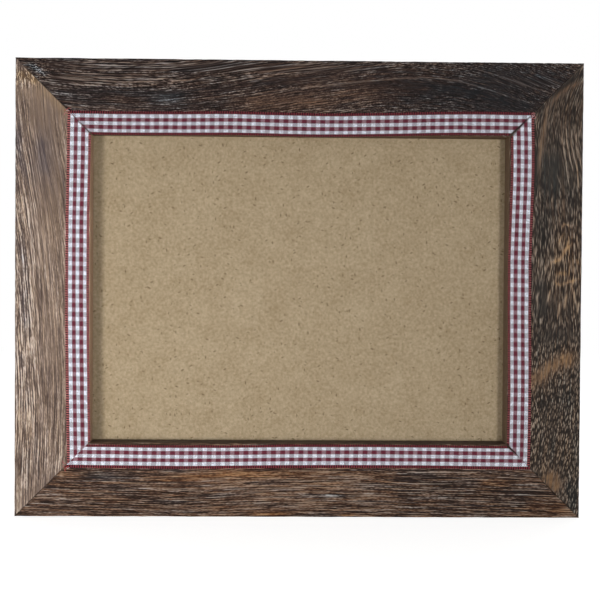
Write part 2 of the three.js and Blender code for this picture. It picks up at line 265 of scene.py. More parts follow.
# pale painted floor, rolled matt: even, without gloss, fading into the surround
floorPaint, add, shader = startMaterial("rolled_matt_floor_paint")
place = add("TexCoord").outputs["Object"]
mottle = add("TexNoise", {"Vector": place, "Scale": 1 / studio["floorPatch"]})
dryness = add("MapRange", {0: mottle, 3: studio["floorRough"][0], 4: studio["floorRough"][1]})
seen = add("LightPath").outputs["Is Camera Ray"]
distance = add("VectorMath", {0: place}, operation="LENGTH")
fade = add("MapRange", {0: distance, 1: studio["fade"][0], 2: studio["fade"][1]}, **eased)
seenPaint = add("Mix", {0: fade, 6: linear(studio["seenColour"]), 7: black}, **blend)
paint = add("Mix", {0: seen, 6: linear(studio["floorColour"]), 7: seenPaint}, **blend)
glow = add("MapRange", {0: fade, 3: studio["floorGlow"], 4: 1.0})
glow = add("Math", {0: glow, 1: seen}, operation="MULTIPLY")
wire(shader, {"Base Color": paint, "Roughness": dryness, "Specular IOR Level": 0.0,
              "Emission Color": white, "Emission Strength": glow})
half = studio["floorSize"] / 2
floorMesh = bpy.data.meshes.new("studio_floor")
floorCorners = [(-half, -half, 0), (half, -half, 0), (half, half, 0), (-half, half, 0)]
floorMesh.from_pydata(floorCorners, [], [(0, 1, 2, 3)])
floorMesh.materials.append(floorPaint)
studioFloor = bpy.data.objects.new("studio_floor", floorMesh)
scene.collection.objects.link(studioFloor)
studioFloor.visible_glossy = False                 # metal and glass see the surround instead
studioFloor.visible_transmission = False
print("studio lit")


# Rails: mitred lengths of scorched and wire-brushed wood; lengths in mm
railSize = {
    "seeds": (11, 20),       # the first rail's seed, and the step to the next
    "smooth": 40,            # degrees up to which an edge is shaded smooth
    "faceStep": 0.33,        # between points across the show face
    "wallStep": 0.7,
    "backStep": 1.0,
    "alongStep": 0.75,
    "arrisSteps": 5,
    "outerArris": 0.8,       # eased by the brush
    "sightArris": 0.5,
    "backArris": 0.5,
    "mitreLine": 0.10,       # half of the hairline at a mitre, which closes a little way in
    "mitreDepth": 0.8,
    "rebateClearance": 0.5,
    "backSink": 0.12,        # the sawn back lies this far under the driven nails
    "brushDepth": 0.14,      # how deep the brush dug out the soft wood
    "wallSpared": 0.6,       # the share of that which the sight wall was spared
    "endEase": 1.0,          # over which the relief dies away towards a mitre
    "ribbonEase": 0.25,      # and under the ribbon
    "sawDepth": 0.05,
    "sawMark": (1.6, 40),    # width and length of a saw mark, which lies across the grain
    "reliefs": [(8.0, 0.65, 0.65), (8.0 / 2.1, 0.65 / 1.9, 0.35)],   # ridges: length, width, share
    "reliefLean": 0.5,       # how far a ridge leans over as it goes in
    "reliefCap": 0.35,       # higher ridges were worn down to this
    "wanders": [(26, 9, 0.9), (9, 5, 0.35)],   # unsteady grain: length and width of a bend, and its reach
    "facing": 0.6,           # how squarely a face looks back or inward to count as back or sight wall
    "frontFacing": -0.2,     # and how squarely it looks forward to count as face
    "slack": 0.1,            # allowed when points are told apart by place
    "bareFrom": 1.0,         # from the outer edge, where the stain stops on the back
    "wallStain": 0.93,       # how far an even stain hides the grain on the sight walls
    "arrisStain": 0.3,       # how much of it shows on the arris beside the ribbon
    "stainReach": 1.8,       # that the sight walls' stain runs over the arris
    "broken": 0.6,           # how far the relief breaks up a stroke
    "brokenRange": (0.3, 1.7),
    "fineLine": 0.6,         # a stroke with no more half width than this runs on unbroken
    "strokeEnd": 0.3,        # a stroke's strength at its ends, and the share of its length that it fades in
    "bandLength": 25.0,      # length and width of a band whose fibres show more or less
    "bandWidth": 1.6,
    "bandShare": 0.25,
    "contrastRange": (0.15, 2.2),
    "markShift": (7.3, 3.1, 1.7),   # keeps the sets of marks apart
    "markBend": 0.05,
    "dashEdge": (0.72, 0.18),       # from the dark between dashes to a dash's pale middle
    "tintLength": 24.0,      # length and width of a patch that runs warmer or cooler
    "tintWidth": 0.8,
    "tintRange": (0.3, 0.7),        # nearly all of a noise lies between these
    "lineStray": 9.0,        # along which a line strays from its neighbours
    "lineDetail": (1.0, 2.4),       # and how much finer it wavers
    "knotShort": 8.0,        # how much shorter the marks get in a knot
    "bareWood": [(0.2, "#866c4d"), (0.5, "#a28764"), (0.85, "#b89d79")],
    "roughTones": (0.2, 0.9),       # dark fibres are rougher than pale ones
    "rough": (0.82, 0.62),
    "ior": 1.5,
    "specular": 0.35,
    "bump": (0.4, 0.12),     # strength, and depth of the pores
}
sideFrames = {               # where a rail starts, which way it runs, and which way is inward, as (x, z)
    "bottom": ((0, 0), (1, 0), (0, 1)),
    "top": ((0, 1), (1, 0), (0, -1)),
    "left": ((-0.5, 0.5), (0, 1), (1, 0)),
    "right": ((0.5, 0.5), (0, 1), (-1, 0)),
}
leftLow, _ = nodeBox("left_rail")
_, rightHigh = nodeBox("right_rail")
bottomLow, bottomHigh = nodeBox("bottom_rail")
_, topHigh = nodeBox("top_rail")
boardLow, _ = nodeBox("backing_board")
glassLow, _ = nodeBox("glass_pane")
ribbonLow, ribbonHigh = nodeBox("ribbon_bottom")
outerWidth = rightHigh[0] - leftLow[0]
outerHeight = topHigh[2] - bottomLow[2]
railWidth = bottomHigh[2] - bottomLow[2]
faceY, backY = bottomLow[1], bottomHigh[1]
rebateWall = boardLow[2] - railSize["rebateClearance"]
ribbonWidth = ribbonHigh[2] - ribbonLow[2]

# arris is the tone added on the arris beside the ribbon: partly painted shade of the ribbon's edge, partly
# glue
# each rail's own figure:
# bend is how far the grain strays from straight at points along the rail, sightBend that at the sight edge
# stretch is where the marks lie along a rail whose marks are drawn out in places
# wander is how unsteady the grain runs, ridge how much paler a proud fibre is, tint how far the hue strays
# marks are its streaks, the long ones first: length and width in mm, contrast, softness of the edge, rarity
# dashes are short separate marks: length and width in mm of the space that each one has, and contrast
# lines are the growth lines: pitch in mm, contrast, and how far each strays from the next
# strokes are (points as x, z in mm, half width in mm, tone, hue from -1 grey-blue to 1 gold, calm)
# knots are (middle along the rail, middle across it, reach along, reach across), in mm
railLooks = {
    "top": {
        "bend": [(-131, -11.5), (-73, -14), (1, -5.5), (54, 0), (90, -5), (113, -13.6), (131, -20)],
        "stretch": [(-131, -131), (-60, -60), (-20, -5), (30, 80), (70, 200), (131, 480)],
        "marks": [(16, 0.46, 0.10, 0.11, 0.02), (5, 0.44, 0.13, 0.11, 0.02), (1.6, 0.42, 0.12, 0.13, 0.01),
                  (0.9, 0.42, 0.07, 0.18, 0)],
        "dashes": [],
        "lines": [(1.05, 0.17, 5.0)],
        "wander": 0.5, "ridge": 0.03, "tint": 0.30, "wall": "#6a533c", "arris": 0.0,
        "ramp": [(0.16, "#140e0d"), (0.32, "#221917"), (0.43, "#312521"), (0.52, "#40322d"),
                 (0.60, "#51423b"), (0.72, "#6c5d54"), (0.90, "#9d9087")],
        "gold": [(0.30, "#2c1f18"), (0.50, "#523b2e"), (0.70, "#7e5e48"), (0.90, "#ad8a6c")],
        "cool": [(0.30, "#1f2124"), (0.50, "#3a3e41"), (0.70, "#747c83"), (0.90, "#c9d3dc")],
        "strokes": [
            ([(-20, 196), (4, 199), (25, 201.5), (45.5, 203.5), (59.5, 204), (73.5, 202.5), (87.5, 198.5),
              (101.5, 194), (112, 191)], 0.30, 0.30, 0, 0.5),
            ([(-2, 196), (25, 200), (52, 202), (82, 197.5), (108, 189.5)], 1.8, -0.05, -0.2, 0.2),
            ([(30, 200), (70, 196), (118, 188)], 9.0, -0.11, -0.35, 0.46),
            ([(70, 203), (125, 199)], 9.0, -0.04, -0.15, 0.22),
            ([(-110, 192), (-75, 191.5), (-36, 192.5)], 4.5, -0.04, -0.10, 0.30),
            ([(-25, 200), (40, 200)], 10.0, 0, 0, 0.20),
            ([(78, 207), (128, 205)], 5.0, -0.05, -0.25, 0.25),
            ([(-20, 203), (20, 194), (50, 200)], 9.0, 0.03, 0.12, 0.1),
            ([(78, 209), (95, 204), (110, 199), (117, 197)], 0.30, 0.28, 0.15, 0.5),
            ([(108, 206), (117, 203)], 0.25, 0.22, -0.5, 0),
            ([(104, 203.5), (119, 197.5)], 0.25, 0.18, 0.1, 0),
            ([(-110.5, 202.5), (-94, 200.5), (-76.5, 200)], 0.25, 0.12, 0.1, 0),
            ([(-110.5, 200.5), (-97, 198.5), (-83, 198.5), (-69.5, 199.5), (-53, 201)], 0.25, 0.13, 0.1, 0),
            ([(-110, 202.5), (-80, 200), (-50, 202)], 2.8, 0.03, 0.1, -0.5),
            ([(-63.5, 200), (-44, 203)], 0.4, 0.12, 0.3, 0),
            ([(-102.5, 190.5), (-92.5, 190), (-77, 191.5)], 0.4, 0.11, 0, 0),
            ([(-99.5, 208), (-88, 208), (-76.5, 208)], 0.4, 0.20, -0.25, 0),
            ([(-80, 207.5), (-56, 207.5)], 0.35, 0.13, -0.2, 0),
            ([(-71.5, 193.5), (-53.5, 194)], 3.0, 0.02, -0.35, 0.2),
            ([(-30, 190.5), (-5, 191.5), (14, 193)], 4.0, 0.05, 0.5, 0.35),
            ([(-47.5, 196.5), (-33.5, 198), (-14.5, 201), (13.5, 205.5)], 1.9, -0.08, -0.1, 0.4),
            ([(-36.5, 200.5), (-28, 202.5), (-17, 205.5), (-6, 207.5), (10.5, 210)], 0.35, 0.13, 0.25, 0),
            ([(-34.5, 198.5), (-22.5, 202), (-9, 205), (8, 208)], 0.35, 0.14, 0.2, 0),
            ([(-12, 203), (-0.5, 205), (13.5, 207.5)], 0.3, 0.13, 0.1, 0),
            ([(-111.5, 196.5), (-77.5, 196), (-46, 195.5)], 1.5, -0.09, -0.2, 0.2),
            ([(15, 197), (45, 200), (60, 203)], 5.0, 0.02, 0.3, 0.1),
            # painted highlight: bluish-white glints near the top left corner
            ([(-125.5, 208), (-122, 206.5), (-117.5, 203.5)], 1.0, 0.03, -0.7, -1.2),
        ],
        "knots": [(-121, 205, 5, 3.5)],
    },
    "left": {
        "bend": [(0, 0), (50, 1.5), (90, 0), (130, -4), (185, -12), (211, -14)],
        "marks": [(28, 0.46, 0.15, 0.13, 0), (10, 0.46, 0.18, 0.13, 0), (3.0, 0.44, 0.12, 0.17, 0),
                  (1.2, 0.42, 0.08, 0.20, 0)],
        "dashes": [],
        "lines": [(1.12, 0.12, 5.0)],
        "wander": 0.5, "ridge": 0.04, "tint": 0.25, "wall": "#d4ad8e", "arris": -0.22,
        "ramp": [(0.14, "#50423d"), (0.28, "#63534b"), (0.42, "#756459"), (0.50, "#837065"),
                 (0.58, "#927f71"), (0.72, "#b39d8d"), (0.90, "#dccbbb")],
        "gold": [(0.26, "#6b543e"), (0.50, "#937a5e"), (0.72, "#bd9f7e"), (0.90, "#dabd98")],
        "cool": [(0.26, "#4c4346"), (0.50, "#756b6b"), (0.72, "#9e9694"), (0.90, "#d6d1d0")],
        "strokes": [
            ([(-113, 184), (-113.5, 100), (-113, 30)], 7.0, 0, 0.12, 0.50),
            ([(-114, 200), (-114, 135)], 13.0, -0.03, 0, 0.30),
            ([(-126, 190), (-112, 183)], 9.0, 0, 0.1, 0.45),
            ([(-127.5, 148), (-127, 95), (-127.5, 25)], 4.5, 0.02, 0, -0.30),
            ([(-131, 206.5), (-124, 209.5)], 4.0, -0.22, -0.1, 0),
            ([(-131, 203), (-122, 203)], 3.4, -0.10, 0.65, -1.2),
            ([(-124, 201.5), (-121, 200)], 1.6, 0.06, 0.7, -0.2),
            ([(-130, 196.5), (-117, 194)], 3.6, 0.05, 0.15, 0.45),
            ([(-121, 200.5), (-112, 191.5), (-101, 181)], 2.6, 0.04, 0.55, 0.5),
            ([(-130, 180.5), (-129.5, 170.5), (-127, 160), (-125.5, 153.5)], 1.3, -0.20, -0.7, 0),
            ([(-130.5, 178), (-130.5, 150)], 1.0, -0.16, -0.2, 0),
            ([(-119, 176), (-117.5, 156)], 4.0, -0.04, -0.6, 0.1),
            ([(-128.5, 148.5), (-126, 131.5)], 1.0, 0.17, 0.15, 0),
            ([(-125.5, 146), (-124.5, 134)], 0.6, 0.16, 0.15, 0),
            ([(-109, 160), (-108.5, 140)], 0.5, -0.18, -0.2, 0),
            ([(-128.5, 131), (-127, 117.5), (-127, 107.5)], 1.5, -0.17, -0.35, 0),
            ([(-127.5, 121), (-127, 117)], 0.35, 0.34, -0.4, 0),
            ([(-126, 105), (-126, 101.5)], 0.35, 0.34, -0.4, 0),
            ([(-123.5, 112), (-122, 100.5)], 0.9, 0.17, 0.25, 0),
            ([(-127, 107), (-126, 86)], 2.0, -0.15, -0.4, 0),
            ([(-129.5, 84.5), (-128.5, 77)], 0.7, 0.18, 0.2, 0),
            ([(-125.5, 82.5), (-124.5, 74)], 0.6, 0.15, 0.2, 0),
            ([(-129, 76), (-126.5, 67.5)], 1.4, -0.17, -0.3, 0),
            ([(-123, 64), (-122.5, 59.5)], 0.9, -0.16, 0.1, 0),
            ([(-118, 58.5), (-117, 50)], 0.7, -0.16, 0.3, 0),
            ([(-129.5, 52), (-127.5, 33.5)], 1.3, 0.15, 0.25, 0),
            ([(-124.5, 50), (-123.5, 35.5)], 0.9, 0.13, 0.25, 0),
            ([(-130, 27.5), (-128.5, 21)], 1.0, -0.18, 0.1, 0),
            ([(-129, 4), (-120, 12), (-110, 23)], 4.0, 0, 0, 0.5),
            # painted shade: the foot of the left rail darkened to offset the near key lamp
            ([(-116, 70), (-116, 20)], 12.0, -0.035, 0, 0),
            ([(-116, 140), (-116, 85)], 12.0, 0.03, 0, 0),
        ],
        "knots": [(203, -126.5, 3.4, 8)],
    },
    "bottom": {
        "bend": [(-131, 1.5), (-60, -0.5), (0, 1.0), (60, 0), (131, -1.5)],
        "marks": [(40, 0.38, 0.12, 0.12, 0), (15, 0.38, 0.19, 0.12, 0), (5.5, 0.36, 0.18, 0.14, 0),
                  (1.6, 0.36, 0.13, 0.18, 0)],
        "dashes": [],
        "lines": [(1.1, 0.11, 5.0)],
        "wander": 0.35, "ridge": 0.03, "tint": 0.45, "wall": "#4f3e30", "arris": -0.12,
        "ramp": [(0.16, "#251b16"), (0.30, "#372922"), (0.42, "#4a382e"), (0.50, "#594337"),
                 (0.58, "#695042"), (0.72, "#826753"), (0.90, "#a49080")],
        "gold": [(0.28, "#43291a"), (0.50, "#6e4930"), (0.72, "#946a48"), (0.90, "#b08a64")],
        "cool": [(0.28, "#2c292a"), (0.50, "#554f4e"), (0.72, "#89837f"), (0.90, "#c4c1be")],
        "strokes": [
            ([(-72.5, 18), (-43, 19), (-9, 20)], 0.8, 0.06, 0.9, 0),
            ([(-68.5, 17), (-43, 17.5)], 0.5, 0.08, 0.8, 0),
            ([(-50, 20), (0, 20.5), (26, 20.5)], 2.8, 0.03, 0.55, 0.1),
            ([(-101, 18.5), (-73, 18.5)], 1.6, -0.14, -0.5, 0.2),
            ([(-1, 10), (19.5, 10)], 0.7, 0.10, -0.5, 0.2),
            ([(12.5, 10.5), (22, 10)], 0.5, 0.10, -0.5, 0),
            ([(-63.5, 7.5), (-43, 7), (-23.5, 7.5)], 0.3, 0.22, -0.5, 0),
            ([(-33.5, 8), (-22.5, 7.5)], 0.9, -0.18, 0, 0.3),
            ([(-23.5, 1.5), (-4, 1.5)], 0.9, 0.06, 0.8, 0),
            ([(19.5, 1), (27, 1)], 0.6, 0.10, 0.9, 0),
            ([(82.5, 16), (100, 16)], 1.8, 0.06, 0.6, 0.1),
            ([(104.5, 4.5), (128.5, 4)], 3.0, 0.06, 0.5, 0.1),
            ([(-110, 12), (-60, 12)], 10.0, -0.08, 0, 0),
            ([(-40, 12), (30, 12)], 10.0, 0.03, 0.05, 0),
            ([(44, 14), (110, 11)], 10.0, -0.19, -0.15, -0.36),
            # painted shadow: a dark line under the ribbon's outer edge
            ([(-100, 22), (100, 22)], 0.5, -0.12, -0.2, 0),
            ([(-105, 3.5), (-80, 3)], 1.4, -0.12, 0, 0),
            ([(-119, 10.5), (-108, 10.5)], 0.35, 0.18, -0.4, 0),
            ([(-80, 13), (-62, 13)], 0.5, 0.10, -0.2, 0),
        ],
        "knots": [],
    },
    "right": {
        "bend": [(0, 0), (50, 6), (100, 9), (140, 8), (165, 4.5), (185, 1), (197, 4), (211, 14)],
        "sightBend": [(0, 0), (50, 7), (100, 10), (148, 12), (171, 15.5), (185, 17.5), (197, 23), (211, 36)],
        "stretch": [(0, 0), (60, 66), (86, 93), (96, 100), (136, 122), (150, 131), (180, 148), (211, 168)],
        "marks": [(10, 0.40, 0.06, 0.15, 0.02), (3.0, 0.40, 0.10, 0.14, 0.02), (0.9, 0.40, 0.09, 0.20, 0)],
        "dashes": [(2.8, 0.64, 0.27)],
        "lines": [],
        "wander": 0.8, "ridge": 0.03, "tint": 0.40, "wall": "#725b47", "arris": -0.14,
        "ramp": [(0.18, "#28231f"), (0.32, "#352e2a"), (0.42, "#443a33"), (0.50, "#53473e"),
                 (0.58, "#67594f"), (0.70, "#89796a"), (0.88, "#b2a191")],
        "gold": [(0.28, "#38291f"), (0.50, "#5f4634"), (0.70, "#8f6f50"), (0.88, "#b5936c")],
        "cool": [(0.28, "#282a2a"), (0.50, "#414341"), (0.70, "#70716c"), (0.88, "#a3a49d")],
        "strokes": [
            ([(131, 207), (125, 203.5), (120, 199.5), (116, 195.5)], 1.1, -0.18, -0.25, 0.5),
            ([(131, 202.5), (125.5, 201), (120.5, 198), (116.5, 193.5), (114.5, 190)], 1.1, 0.09, 0.40, 0.6),
            ([(114.5, 190), (113.5, 185), (112.5, 179), (111.5, 171.5), (110.5, 164.5), (109.5, 158)],
             1.4, 0.13, 0.45, 0.6),
            ([(124, 192), (126, 184)], 5.5, -0.06, 0.15, -0.30),
            ([(122, 206), (122, 172)], 11.0, 0, 0, 0.40),
            ([(120, 174), (120, 150)], 11.0, -0.04, -0.15, 0.65),
            ([(122, 150), (122, 132)], 11.0, 0, 0, 0.25),
            # painted shadow: a dark strip beside the ribbon's outer edge, cast from the left
            ([(108, 184), (108.5, 178), (109, 166.5), (108.5, 148)], 0.9, -0.16, -0.4, 0.4),
            ([(121, 180), (121.5, 175), (122.5, 168.5), (124, 159.5), (125, 153)], 0.30, 0.42, 0.3, 0),
            ([(123, 181), (123.5, 175), (125, 167.5), (126.5, 161.5)], 0.30, 0.44, 0.3, 0),
            ([(125.5, 180), (125.5, 174), (127, 167.5), (128.5, 161.5), (129, 154)], 0.32, 0.46, 0.3, 0),
            ([(127.5, 180), (127.5, 175), (129, 168.5), (130.5, 162.5)], 0.30, 0.44, 0.3, 0),
            ([(129.5, 180.5), (129, 176.5)], 0.28, 0.28, 0.1, 0),
            ([(119, 160), (120.5, 155.5)], 0.28, 0.26, 0.5, 0),
            ([(123.5, 157.5), (123.5, 154)], 0.24, 0.26, 0.1, 0),
            ([(116.5, 155.5), (117, 153)], 0.24, 0.24, 0.1, 0),
            ([(115.5, 170), (116.5, 148)], 4.2, -0.05, -0.55, 0.2),
            ([(111.5, 144), (114.5, 124)], 4.0, -0.06, -0.35, 0.2),
            ([(123, 138), (123, 95)], 9.0, 0.05, 0.35, -0.15),
            ([(125.5, 136), (122.5, 137), (121.5, 134.5)], 0.5, 0.32, 0.6, 0),
            ([(122.5, 133), (120, 128)], 0.5, 0.34, 0.6, 0.2),
            ([(127, 128), (123, 125), (121, 120.5), (117, 119), (116, 116)], 0.7, 0.34, 0.6, 0),
            ([(124.5, 129), (123.5, 123)], 0.5, 0.36, 0.5, 0.3),
            ([(128.5, 121), (129.5, 118)], 0.6, 0.32, 0.6, 0.2),
            ([(120, 114), (124.5, 114)], 1.0, 0.14, 0.8, 0.1),
            ([(130.5, 111.5), (124.5, 110), (121, 108.5), (118.5, 110)], 0.80, 0.30, 0.5, 0.1),
            ([(111.5, 106), (110.5, 103), (110.5, 98)], 0.45, 0.34, 0.4, 0.3),
            ([(116.5, 106.5), (115, 100)], 0.50, 0.44, 0.4, 0.4),
            ([(124, 104.5), (123, 97)], 0.50, 0.42, 0.5, 0.4),
            ([(127.5, 106.5), (128.5, 99)], 0.55, 0.46, 0.4, 0.4),
            ([(130, 101), (129, 95)], 0.50, 0.40, 0.4, 0.4),
            ([(121, 101), (120.5, 94)], 0.50, 0.42, 0.5, 0.4),
            ([(107, 59.5), (109.5, 63.5), (112.5, 67), (118, 71), (123, 73.5), (131.5, 74.5)],
             4.0, 0.16, 0.75, 0.75),
            ([(108.5, 83.5), (114.5, 84.5), (122, 85.5), (131, 84.5)], 4.0, -0.05, -0.20, 0.45),
            ([(112, 112.5), (112.5, 92)], 3.5, -0.06, -0.40, 0.50),
            ([(122, 108), (122, 93)], 9.0, -0.05, -0.1, 0.60),
            ([(112, 53), (121.5, 55), (130, 57)], 3.5, -0.06, -0.2, 0),
            ([(115.5, 21.5), (121.5, 12)], 4.2, 0.15, 0.85, 0.95),
            ([(126.5, 17), (128.5, 3)], 2.2, -0.08, -0.6, 0),
        ],
        "knots": [],
    },
}


def sidePlace(side):
    # half of a rail's length, whether it lies or stands, and where a point so far along and inward is
    (startX, startZ), (runX, runZ), (inX, inZ) = sideFrames[side]
    startX, startZ = startX * outerWidth, startZ * outerHeight

    def place(run, inward):
        return startX + run * runX + inward * inX, startZ + run * runZ + inward * inZ

    return (outerWidth if runX else outerHeight) / 2, bool(runX), place


def easedSection(corners):
    # corners are (inward, depth, radius, step to the next corner), round the section
    points = []
    for i, (inward, depth, radius, step) in enumerate(corners):
        here = np.array((inward, depth), float)
        before = np.array(corners[i - 1][:2], float) - here
        following = corners[(i + 1) % len(corners)]
        after = np.array(following[:2], float) - here
        runLength = np.linalg.norm(after)
        after /= runLength
        start = here + before / np.linalg.norm(before) * radius
        end = here + after * radius
        if radius:
            for t in np.linspace(0, 1, railSize["arrisSteps"]):
                points.append((1 - t) ** 2 * start + 2 * t * (1 - t) * here + t * t * end)
        else:
            points.append(here)
        straight = runLength - radius - following[2]
        count = max(1, round(straight / step))
        points += [end + after * straight * k / count for k in range(1, count)]
    return np.array(points)


def strokeWeight(points, halfWidth, x, z):
    # 1 on a line drawn through the points, fading past its half width and towards its ends
    nearest = np.full(x.shape, np.inf)
    position = np.zeros(x.shape)
    length = 0.0
    for (x0, z0), (x1, z1) in zip(points[:-1], points[1:]):
        dx, dz = x1 - x0, z1 - z0
        t = np.clip(((x - x0) * dx + (z - z0) * dz) / (dx * dx + dz * dz), 0, 1)
        reach = np.hypot(x - x0 - t * dx, z - z0 - t * dz)
        position = np.where(reach < nearest, length + t * math.hypot(dx, dz), position)
        nearest = np.minimum(nearest, reach)
        length += math.hypot(dx, dz)
    end = railSize["strokeEnd"]
    taper = np.clip(end + np.minimum(position, length - position) / (end * length), 0, 1)
    return np.exp(-(nearest / halfWidth) ** 2) * taper


def brushedWood(name, look):
    # scorched wood brushed open along its grain: dark hollows, pale proud fibres, a dry low sheen
    material, add, shader = startMaterial(name)
    grain, figure, finish = (add("Attribute", attribute_name=stored).outputs["Vector"]
                             for stored in ("grain", "figure", "finish"))
    figure, finish = (add("SeparateXYZ", {0: stored}).outputs for stored in (figure, finish))
    marked = add("Math", {0: finish["Z"], 1: look["ridge"]}, operation="MULTIPLY")
    # each set of marks is a pattern drawn out to the length and width of one mark
    sets = []
    for i, (length, width, gain, edge, rarity) in enumerate(look["marks"]):
        shift = tuple(i * step for step in railSize["markShift"])
        shape = (1 / length, 1 / width, 1 / width)
        place = add("VectorMath", {0: grain, 1: shape, 2: shift}, operation="MULTIPLY_ADD")
        fibres = add("TexNoise", {
            "Vector": place, "Scale": 1.0, "Detail": 0.0, "Distortion": railSize["markBend"]})
        sets.append(add("MapRange", {
            0: fibres, 1: 0.5 + rarity - edge, 2: 0.5 + rarity + edge, 3: -gain, 4: gain}, **eased))
    for length, width, gain in look["dashes"]:
        place = add("VectorMath", {0: grain, 1: (length, width, width)}, operation="DIVIDE")
        cells = add("TexVoronoi", {"Vector": place, "Scale": 1.0})
        between, middle = railSize["dashEdge"]
        sets.append(add("MapRange", {
            0: cells.outputs["Distance"], 1: between, 2: middle, 3: -gain, 4: gain}, **eased))
    for pitch, gain, stray in look["lines"]:
        place = add("VectorMath", {0: grain, 1: (railSize["lineStray"], pitch, pitch)}, operation="DIVIDE")
        detail, finer = railSize["lineDetail"]
        oneLong = math.pi / 10                     # the scale at which the node's wave is one unit long
        rings = add("TexWave", {
            "Vector": place, "Scale": oneLong, "Distortion": stray, "Detail": detail, "Detail Scale": finer},
            bands_direction="Y")
        sets.append(add("MapRange", {0: rings.outputs["Fac"], 3: -gain, 4: gain}))
    for marks in sets:
        marked = add("Math", {0: marked, 1: marks}, operation="ADD")
    total = add("Math", {0: marked, 1: figure["Z"], 2: figure["X"]}, operation="MULTIPLY_ADD")
    patchSize = (railSize["tintLength"], railSize["tintWidth"], railSize["tintWidth"])
    patch = add("VectorMath", {0: grain, 1: patchSize}, operation="DIVIDE")
    patch = add("TexNoise", {"Vector": patch, "Scale": 1.0, "Detail": 1.0})
    low, high = railSize["tintRange"]
    tint = add("MapRange", {0: patch, 1: low, 2: high, 3: -look["tint"], 4: look["tint"]})
    hue = add("Math", {0: figure["Y"], 1: tint}, operation="ADD")
    warmth = add("MapRange", {0: hue, 1: 0.0, 2: 1.0})
    coolness = add("MapRange", {0: hue, 1: 0.0, 2: -1.0})
    colour, gold, cool, bare = (add("ValToRGB", {0: total}, stops) for stops in (
        look["ramp"], look["gold"], look["cool"], railSize["bareWood"]))
    # the sight wall was stained but never brushed, the back was sawn and left bare
    stain = linear(look["wall"])
    for cover, over in ((warmth, gold), (coolness, cool), (finish["X"], stain), (finish["Y"], bare)):
        colour = add("Mix", {0: cover, 6: colour, 7: over}, **blend)
    (dark, pale), (rough, smooth) = railSize["roughTones"], railSize["rough"]
    gloss = add("MapRange", {0: total, 1: dark, 2: pale, 3: rough, 4: smooth})
    strength, pores = railSize["bump"]
    bump = add("Bump", {"Strength": strength, "Distance": pores * millimetre, "Height": fibres})
    wire(shader, {"Base Color": colour, "Roughness": gloss, "IOR": railSize["ior"],
                  "Specular IOR Level": railSize["specular"], "Normal": bump})
    return material


